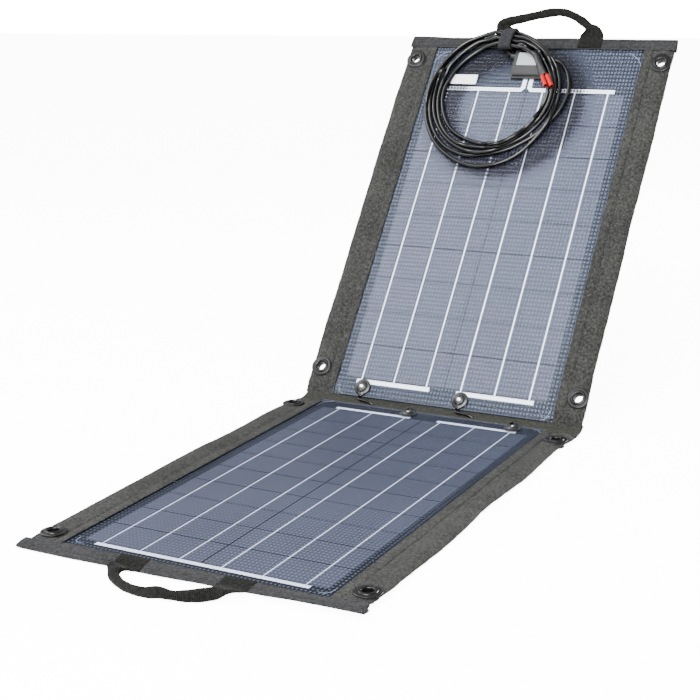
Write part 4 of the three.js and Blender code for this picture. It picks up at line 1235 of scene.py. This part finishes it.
COIL_LOOPS = [
    [(-29.5, 614.1, 16.4), (-11.9, 609.1, 16.8), (5.0, 600.2, 16.9), (21.1, 589.6, 16.9),
     (36.5, 579.7, 15.8), (51.3, 573.3, 12.4), (62.3, 560.3, 9.5), (68.8, 544.0, 7.6),
     (71.3, 527.0, 6.3), (69.3, 510.8, 5.2), (64.8, 495.7, 4.5), (57.4, 482.2, 4.1),
     (48.8, 469.6, 3.9), (39.8, 457.4, 3.8), (29.4, 446.4, 3.7), (17.4, 437.3, 3.7),
     (4.9, 428.7, 3.7), (-8.9, 422.2, 3.7), (-23.9, 417.4, 3.7), (-39.5, 414.1, 3.7),
     (-55.7, 412.0, 3.7), (-72.7, 412.8, 3.7), (-90.1, 418.4, 3.7), (-107.2, 426.7, 3.7),
     (-122.0, 440.0, 3.7), (-134.1, 455.9, 3.7), (-143.4, 473.4, 3.7), (-149.8, 491.7, 3.7),
     (-154.1, 510.2, 3.7), (-156.2, 528.6, 3.7), (-155.3, 546.4, 3.7), (-151.0, 562.9, 3.7),
     (-144.4, 578.0, 3.7), (-136.2, 592.1, 3.7), (-126.5, 604.8, 3.8), (-114.5, 615.3, 4.0),
     (-101.4, 624.2, 4.4), (-86.4, 630.5, 5.5), (-69.9, 633.7, 7.4)],
    [(-40.3, 629.6, 12.8), (-21.7, 623.2, 14.7), (-3.6, 613.8, 16.8), (14.2, 599.9, 20.9),
     (29.7, 585.2, 22.6), (41.0, 572.6, 19.0), (48.8, 559.7, 13.4), (55.0, 543.5, 11.0),
     (57.8, 527.1, 8.6), (58.0, 510.8, 6.5), (57.0, 493.3, 7.8), (54.3, 476.0, 9.9),
     (48.2, 462.1, 8.3), (40.5, 449.3, 6.1), (31.8, 437.2, 3.9), (22.9, 424.8, 3.7),
     (12.2, 414.2, 3.7), (-0.3, 405.6, 3.7), (-14.2, 399.0, 3.7), (-29.4, 395.0, 3.7),
     (-45.9, 393.9, 3.7), (-63.0, 396.2, 3.7), (-80.4, 401.8, 3.7), (-97.2, 410.7, 3.7),
     (-113.4, 421.7, 3.7), (-127.6, 435.7, 3.7), (-139.2, 452.0, 3.7), (-148.9, 469.4, 3.7),
     (-155.6, 487.6, 4.0), (-158.7, 504.7, 6.4), (-158.2, 521.1, 9.1), (-156.2, 538.3, 9.7),
     (-152.2, 554.9, 9.6), (-146.6, 570.7, 9.6), (-139.4, 585.5, 9.6), (-130.1, 598.6, 9.6),
     (-119.0, 610.0, 9.7), (-106.4, 617.4, 10.1), (-92.0, 623.4, 10.8), (-75.9, 627.4, 12.3),
     (-67.8, 629.4, 12.9)],
    [(-33.8, 615.9, 22.1), (-16.1, 612.7, 22.5), (1.6, 604.0, 23.7), (19.0, 590.6, 26.8),
     (32.7, 576.2, 26.4), (39.7, 564.4, 19.1), (45.7, 550.4, 14.0), (50.3, 534.2, 11.3),
     (51.1, 518.2, 8.4), (49.3, 502.4, 6.1), (45.2, 487.2, 4.7), (38.1, 473.4, 4.1),
     (29.5, 460.7, 3.8), (19.3, 449.4, 3.7), (7.2, 440.2, 3.7), (-5.9, 432.3, 4.6),
     (-17.4, 422.6, 8.8), (-31.5, 416.5, 9.6), (-47.8, 414.7, 9.4), (-67.3, 419.4, 5.3),
     (-85.4, 426.4, 3.7), (-102.2, 435.9, 3.7), (-117.1, 449.1, 3.7), (-129.7, 464.9, 3.7),
     (-139.4, 482.4, 3.7), (-145.6, 500.8, 3.7), (-148.9, 519.4, 3.7), (-149.1, 537.6, 5.1),
     (-146.2, 554.5, 11.4), (-137.9, 566.6, 5.0), (-130.2, 580.8, 3.8), (-120.5, 593.5, 3.9),
     (-109.1, 604.5, 4.2), (-96.2, 613.7, 5.4), (-83.7, 620.4, 10.2), (-67.8, 622.4, 11.2)],
    [(-32.4, 608.6, 18.3), (-15.0, 605.6, 23.2), (1.7, 596.7, 25.5), (15.3, 585.7, 24.0),
     (28.4, 570.3, 18.7), (39.6, 553.2, 19.4), (46.1, 537.4, 17.0), (48.6, 521.1, 14.4),
     (47.5, 505.3, 12.1), (43.6, 490.2, 10.4), (36.8, 476.5, 9.4), (26.3, 466.2, 6.4),
     (16.2, 454.8, 6.1), (6.8, 442.4, 9.3), (-4.6, 432.4, 11.0), (-16.7, 423.7, 14.6),
     (-34.9, 423.4, 10.0), (-54.1, 426.3, 4.0), (-71.1, 428.5, 4.8), (-86.8, 431.6, 8.2),
     (-103.2, 442.0, 8.0), (-117.4, 457.3, 6.9), (-128.8, 475.9, 4.4), (-136.4, 494.5, 3.7),
     (-140.9, 513.0, 3.7), (-141.9, 531.2, 3.7), (-139.6, 548.5, 4.7), (-134.7, 564.7, 9.8),
     (-127.5, 579.4, 9.1), (-118.3, 592.5, 9.4), (-107.0, 603.7, 10.0), (-93.6, 612.2, 11.5),
     (-77.7, 617.1, 9.9), (-65.1, 619.4, 10.1)],
    [(-29.5, 600.4, 18.4), (-14.7, 599.3, 25.8), (0.9, 588.8, 20.3), (15.0, 574.8, 17.0),
     (26.9, 559.0, 16.9), (35.6, 542.7, 15.6), (40.3, 527.2, 12.0), (39.6, 511.8, 8.5),
     (35.8, 496.7, 7.2), (33.4, 477.6, 14.4), (25.4, 464.7, 12.8), (16.2, 452.5, 13.0),
     (6.4, 440.6, 15.4), (-5.4, 431.2, 17.6), (-18.6, 424.2, 20.7), (-40.0, 429.7, 11.6),
     (-60.2, 435.8, 4.2), (-77.9, 441.3, 3.7), (-94.9, 449.9, 3.7), (-109.9, 462.9, 3.7),
     (-121.2, 479.5, 3.7), (-129.5, 497.4, 3.7), (-134.1, 515.9, 3.7), (-134.2, 533.5, 3.7),
     (-129.9, 548.5, 3.7), (-124.4, 564.0, 3.8), (-116.2, 577.9, 3.9), (-105.8, 589.9, 4.3),
     (-93.5, 599.8, 5.3), (-79.3, 606.9, 7.7), (-62.1, 609.6, 11.7)],
]
COIL_END = [(-60.0, 607.5, 18.5), (-49.2, 602.5, 24.6), (-38.0, 599.0, 26.4),
            (-26.5, 596.2, 27.2), (-8.9, 591.4, 30.2), (3.0, 585.8, 27.6), (8.0, 583.0, 25.2)]


def box_rise(x, y):
    """how much the junction box lifts the cable that crosses or passes it"""
    off_x = np.maximum(np.maximum(-33 - x, x - 24), 0)
    off_y = np.maximum(np.maximum(551 - y, y - 604), 0)
    return 13.2 * bell(np.hypot(off_x, off_y), 0, 40.0)


def rest_on_earlier(flat, floor, spacing):
    """heights at which each point clears the floor and the cable laid before it"""
    heights = floor.copy()
    for i in range(12, len(flat)):
        start, stop = flat[:i - 7], flat[1:i - 6]
        step = stop - start
        t = ((flat[i] - start) * step).sum(1) / np.maximum((step ** 2).sum(1), 1e-9)
        t = np.clip(t, 0, 1)
        distance = np.linalg.norm(flat[i] - (start + step * t[:, None]), axis=1)
        below = heights[:i - 7] * (1 - t) + heights[1:i - 6] * t
        hit = distance < spacing[i]
        if hit.any():
            stacked = below[hit] + np.sqrt(spacing[i] ** 2 - distance[hit] ** 2)
            heights[i] = max(heights[i], float(stacked.max()))
    return heights


def coil():
    """the coiled cable; returns its centre line and the points that pass under the strap"""
    controls = COIL_START + sum(COIL_LOOPS, []) + COIL_END
    traced = resample(spline(controls, 5200), 3.6)
    count = len(traced)
    # the first stretch comes straight out of the box
    free = 1 - ease(5, 15, np.arange(count))
    points = traced.copy()
    # positions slide along the camera's line of sight while the heights settle
    for _ in range(4):
        x, y, _ = points.T
        spacing = 6.1 - 2.2 * bell(x, STRAP_X - 4.0, 30.0) * (y > 570)
        floor = 3.72 + 0.75 * ease(-92, -128, x) + box_rise(x, y)
        floor = floor * (1 - free) + np.minimum(floor, traced[:, 2]) * free
        heights = rest_on_earlier(points[:, :2], floor, spacing)
        settled = heights.copy()
        for _ in range(12):
            settled = np.maximum(heights, three_tap(settled))
        drop = np.clip(traced[:, 2] - settled, -14, 14)
        for _ in range(4):
            drop = three_tap(drop)
        points = columns(traced[:, 0] - 0.56 * drop, traced[:, 1] + 0.383 * drop, settled)
    line = resample(spline(np.vstack([points[::2], points[-1:]]), count * 2), 2.6)
    piece = sweep("cable_coil_loops", place_all("upper", line), 3.0, MAT["cable"], 18,
                  up=NORMAL["upper"])
    register(piece, "cable_bundle", "cable_coil")
    strapped = (np.abs(line[:, 0] - STRAP_X) < 10.5) & (line[:, 1] > 585)
    strapped[:12] = False
    return line, line[strapped]


def shrink_boot(line):
    """smooth shrink tube from the cable's end, widening into a flat fork"""
    path = spline([line[-4], line[-1], (13.2, 577.6, line[-1][2] - 0.6), (19.8, 565.6, 23.2),
                   (25.6, 555.6, 22.2), (31.0, 546.6, 21.8)], 46)
    first = int(np.argmin(np.linalg.norm(path - line[-2], axis=1)))
    path = place_all("upper", resample(path[first:], 1.1))
    along = tangents(path)
    side = unit(np.cross(along, NORMAL["upper"]))
    t = np.linspace(0, 1, len(path))[:, None]
    width = (3.35 + 1.55 * ease(0.04, 0.16, t) + 0.9 * ease(0.45, 0.95, t)
             + 0.05 * np.sin(t * 60))
    height = 3.35 + 0.75 * ease(0.04, 0.16, t) - 0.35 * ease(0.55, 1.0, t)
    width[-1] -= 0.5
    height[-1] -= 0.5
    waist = 1 - 0.26 * np.sin(circle(40)) ** 8 * ease(0.55, 1.0, t)
    rings = ellipses(path, side, np.cross(side, along), width / 1000, height * waist / 1000, 40)
    piece = loft("shrink_boot_forked", [rings], MAT["shrink"])
    register(piece, "cable_bundle", "heat_shrink_boot")


def red_sleeve(name, start, stop):
    """a red sleeve with an open dark end"""
    start, stop = place("upper", *start), place("upper", *stop)
    along = unit(stop - start)
    length = np.linalg.norm(stop - start) * 1000
    side = unit(np.cross(along, NORMAL["upper"]))
    # (distance along the sleeve, radius); the rows from the rim's inside on are dark
    profile = [(-3.0, 0.02), (-3.0, 2.2), (-0.2, 3.1), (0.2, 3.4), (1.4, 3.65), (4.0, 3.55),
               (length - 8, 3.55), (length - 3.2, 3.75), (length - 1.0, 3.8), (length, 3.65),
               (length - 0.1, 3.2), (length - 0.8, 3.1), (length - 6.0, 2.9),
               (length - 6.2, 0.02)]
    distance, radius = np.array(profile).T[..., None] / 1000
    rows = len(profile)
    rings = ellipses(start + along * distance, np.tile(side, (rows, 1)),
                     np.tile(np.cross(side, along), (rows, 1)), radius, radius * 0.93, 40)
    slots = [int(row >= 11) for row in range(rows - 1) for _ in range(40)] + [0, 1]
    piece = loft(f"red_sleeve_{name}", [rings], [MAT["red"], MAT["cable"]], slots=slots)
    register(piece, "cable_bundle", f"terminal_sleeve_{name}")


# ------------------------------------------------------------------ strap round the coil
def hull(points):
    """convex outline of 2-D points"""
    points = sorted(set((round(float(a), 4), round(float(b), 4)) for a, b in points))

    def chain(ordered):
        kept = []
        for x, y in ordered:
            while len(kept) > 1:
                (x0, y0), (x1, y1) = kept[-2:]
                if (x1 - x0) * (y - y0) - (y1 - y0) * (x - x0) > 0:
                    break
                kept.pop()
            kept.append((x, y))
        return kept[:-1]

    return np.array(chain(points) + chain(points[::-1]))


def away_from(vectors, points, centre):
    """turns the whole set of normals so that they point away from the centre"""
    return -vectors if ((points - centre) * vectors).sum() < 0 else vectors


def loop_normals(loop):
    normal = -left_of(unit(np.roll(loop, -1, 0) - np.roll(loop, 1, 0)))
    return away_from(normal, loop, loop.mean(0))


def strap(strapped):
    """hook-and-loop strap drawn round the loops; its outline lies in the (y, z) plane"""
    angle = circle(24)
    around = strapped[:, None, 1:] + 3.2 * columns(np.cos(angle), np.sin(angle))
    loop = resample_loop(hull(around.reshape(-1, 2)), 0.9)
    for _ in range(26):
        loop = 0.5 * loop + 0.25 * (np.roll(loop, 1, 0) + np.roll(loop, -1, 0))
    centre = loop.mean(0)
    loop = resample_loop(loop + loop_normals(loop) * 1.3, 1.0)
    normal = loop_normals(loop)
    turn = circle(len(loop))
    section = [(x, 0.75 - 0.45 * (abs(x) > 10)) for x in np.linspace(-10.4, 10.4, 13)]
    section += [(x, -out) for x, out in section[::-1]]
    rings = []
    for x, out in section:
        out = (out + 0.22 * np.sin(2 * turn + x / 3.1) + 0.16 * np.sin(5 * turn + x / 2.3)
               - 0.25 * (x / 10.4) ** 2)
        y, z = (loop + normal * out[:, None]).T
        rings.append(columns(STRAP_X + x + 0.35 * np.sin(3 * turn), y + 0.05 * x,
                             np.maximum(z, 0.35)))
    piece = loft("hook_loop_strap", [place_all("upper", rings)], MAT["strap"], closed=True)
    register(piece, "cable_bundle", "coil_strap")
    strap_free_end(loop, normal, centre)
    strap_tab(loop)


def strap_free_end(loop, normal, centre):
    """overlapping end that lies on the strap over its top"""
    chosen = np.nonzero((loop[:, 1] > loop[:, 1].max() - 11) & (loop[:, 0] < centre[0] + 13))[0]
    order = sorted(chosen, reverse=True, key=lambda k: math.atan2(
        loop[k, 1] - centre[1], loop[k, 0] - centre[0]))
    path = resample(loop[order] + normal[order] * 1.45, 1.2)
    out = away_from(left_of(tangents(path)), path, centre)
    step, count = np.arange(len(path)), len(path)
    # both ends stand off a little
    lift = 0.5 * ease(count - 7, count - 1, step) + 0.25 * ease(6, 0, step)
    y, z = (path + out * lift[:, None]).T[..., None]
    x = np.linspace(-9.6, 9.6, 7)
    x = np.concatenate([x, x[::-1]])
    thick = np.repeat([0.55, -0.55], 7)
    rings = place("upper", STRAP_X + x + 0.7, y + out[:, :1] * thick + 0.05 * x,
                  z + out[:, 1:] * thick)
    register(loft("strap_free_end", [rings], MAT["strap"]), "cable_bundle")


def strap_tab(loop):
    """tab from the strap's far side to the hem band"""
    far, height = loop[int(np.argmax(loop[:, 0]))]
    path = spline([(613, 2.9), (618, 3.1), (623.5, 3.9), (max(far - 0.6, 627.0), 6.0),
                   (far + 0.9, height - 1.0), (far + 0.9, height + 3.0)], 26)
    normal = left_of(tangents(path))

    def to_world(x, _, out):
        yz = path + normal * out[..., None]
        return place("upper", STRAP_X + x, yz[..., 0], yz[..., 1])

    piece = slab("strap_tab", to_world, np.linspace(-9.2, 9.2, 9)[:, None],
                 np.arange(len(path)), 0.6, -0.6, MAT["strap"])
    vector("upper", STRAP_X, 621, 3.4)
    vector("upper", STRAP_X, 628, 9)
    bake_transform(piece)


# ------------------------------------------------------------------ junction box
def junction_box():
    bevel_widths = {"junction_box_base": 0.5, "junction_box_lid": 1.1,
                    "junction_box_window": 0.18}
    for name, width in bevel_widths.items():
        modifier = NODES[name].modifiers.new("soften", "BEVEL")
        modifier.width = width / 1000
        modifier.segments = 3
        modifier.limit_method = "ANGLE"
        modifier.angle_limit = math.radians(35)
        shade_smooth(NODES[name])
    shade_smooth(NODES["cable_lead"])

    # gland where the lead leaves the box
    path = place_all("upper", [(-27.0, 588.0, 7.2), (-30.0, 588.0, 7.2), (-31.5, 588.2, 7.3),
                               (-36.0, 589.2, 7.6)])
    piece = sweep("box_gland", spline(path, 14), np.linspace(4.9, 4.3, 14), MAT["box"], 24)
    register(piece, "upper_panel")

    # step round the foot of the lid
    left, right, near, far = -29.0, 19.0, 554.6, 598.4
    corners = np.array([(left, near), (right, near), (right, far), (left, far)])
    outline = np.vstack([np.linspace(start, stop, 14, endpoint=False)
                         for start, stop in zip(corners, np.roll(corners, -1, 0))])
    out = unit(outline - corners.mean(0))
    section = [(-0.6, 3.3), (0.5, 3.3), (0.4, 3.9), (-0.4, 4.0)]    # outwards, z
    rings = np.stack([columns(*(outline + out * reach).T, z) for reach, z in section], 1)
    piece = loft("box_lid_step", [place_all("upper", rings)], MAT["box"], closed=True,
                 smooth=False)
    register(piece, "upper_panel")


# ------------------------------------------------------------------ build everything
for half in ("lower", "upper"):
    seams = [line for side in SIDES for line in side_border(half, *side)]
    stitches(f"{half}_seam_stitches", half, seams)
    hem_band(half)
    handle(half)
    film(half)
    cell_ribbons(half)
    board_rim(half)
    back_cloth(half)
    eyelets(half)
fold_cloth()
terminal_cover("upper", x=-125.0, y=19.3, side_name="left", reach=14.2)
terminal_cover("upper", x=30.6, y=18.5, side_name="right", reach=13.4)
terminal_cover("lower", x=-29.3, y=33.5, side_name="left", reach=13.5)
terminal_cover("lower", x=129.2, y=34.5, side_name="right", reach=14.5)
link_leads()
cable_line, strapped_points = coil()
shrink_boot(cable_line)
red_sleeve("a", start=(29.3, 545.4, 21.4), stop=(38.9, 528.4, 20.6))
red_sleeve("b", start=(37.3, 546.0, 21.4), stop=(48.8, 527.6, 20.6))
strap(strapped_points)
junction_box()

# ------------------------------------------------------------------ floor, light, camera
FLOOR_GLOW = 11.0                       # extra light the camera sees from the floor
DOME_HORIZON, DOME_TOP = 0.40, 1.05     # strength of the dome
CAMERA_WHITE = 22.0                     # extra strength of the dome to the camera


def make_floor():
    grid = bmesh.new()
    bmesh.ops.create_grid(grid, x_segments=2, y_segments=2, size=9.0)
    mesh = bpy.data.meshes.new("floor")
    grid.to_mesh(mesh)
    grid.free()
    floor = bpy.data.objects.new("floor", mesh)
    floor.location = (0, 0, -0.0008)
    bpy.context.scene.collection.objects.link(floor)
    shader = Material("floor_pale")
    color = shader.mix(shader.noise(scale=3), (0.90, 0.90, 0.90), (0.93, 0.93, 0.93))
    matt = shader.principled(Base_Color=color, Roughness=0.8, Specular_IOR_Level=0.1)
    seen = shader.add("LightPath", output="Is Camera Ray")
    glow = shader.add("Emission", {0: (1.0, 1.0, 1.0), 1: seen * FLOOR_GLOW})
    mesh.materials.append(shader.done(shader.add("AddShader", {0: matt, 1: glow})))


def make_world():
    """white to the camera; to everything else a soft dome, darker towards the horizon"""
    world = bpy.data.worlds.new("studio")
    bpy.context.scene.world = world
    world.use_nodes = True
    shader = Shader(world.node_tree)
    background = world.node_tree.nodes["Background"]
    height = shader.axes(shader.coord("Generated"))[2]
    # inputs: value, from min, from max, to min, to max
    dome = shader.add("MapRange", {0: height, 1: 0.0, 2: 0.85, 3: DOME_HORIZON, 4: DOME_TOP},
                      interpolation_type="SMOOTHSTEP")
    seen = shader.add("LightPath", output="Is Camera Ray")
    shader.put(background.inputs[0], (0.975, 0.985, 1.0))
    shader.put(background.inputs[1], seen.fit(scale=CAMERA_WHITE, offset=dome))


def area_light(name, location, target, size, power, color=(1, 1, 1)):
    light = bpy.data.lights.new(name, "AREA")
    light.shape = "RECTANGLE"
    light.size, light.size_y = size
    light.energy = power
    light.color = color
    lamp = bpy.data.objects.new(name, light)
    bpy.context.scene.collection.objects.link(lamp)
    lamp.location = location
    lamp.rotation_mode = "QUATERNION"
    lamp.rotation_quaternion = (Vector(target) - Vector(location)).to_track_quat("-Z", "Y")


def make_camera():
    # the camera's own axes in the world
    right = (0.8799713429152072, 0.47453842105042304, -0.02153421916342052)
    up = (-0.10489674266199894, 0.23833152670391455, 0.965502333895617)
    back = (0.4633002363769192, -0.8473555158998805, 0.25950244824883284)
    location = np.array([856.2167043398631, FOLD_Y - 1818.9073450703074,
                         630.0875146430094 + FACE_Z]) / 1000
    data = bpy.data.cameras.new("camera")
    data.sensor_width = 36.0
    data.lens = 76.1688
    data.clip_start, data.clip_end = 0.05, 50
    camera = bpy.data.objects.new("camera", data)
    bpy.context.scene.collection.objects.link(camera)
    camera.matrix_world = Matrix([*zip(right, up, back, location.tolist()), (0, 0, 0, 1)])
    bpy.context.scene.camera = camera


make_floor()
make_world()
area_light("key", location=(0.4, -2.35, 2.05), target=(0, 0.32, 0.2), size=(1.9, 1.9), power=350)
area_light("line", location=(0.5, -2.2, 2.5), target=(0, 0.5, 0.3), size=(0.24, 0.24), power=36)
area_light("low_back", location=(1.3, 2.4, 0.38), target=(0, 0.6, 0.22), size=(1.2, 0.6),
           power=120)
area_light("film_glow", location=(-1.5, -0.88, 2.7), target=(0, 0.52, 0.25), size=(1.6, 1.6),
           power=75, color=(0.93, 0.96, 1.0))
area_light("left", location=(-2.2, 0.3, 1.9), target=(0, 0.25, 0.1), size=(1.3, 1.3), power=60)
make_camera()
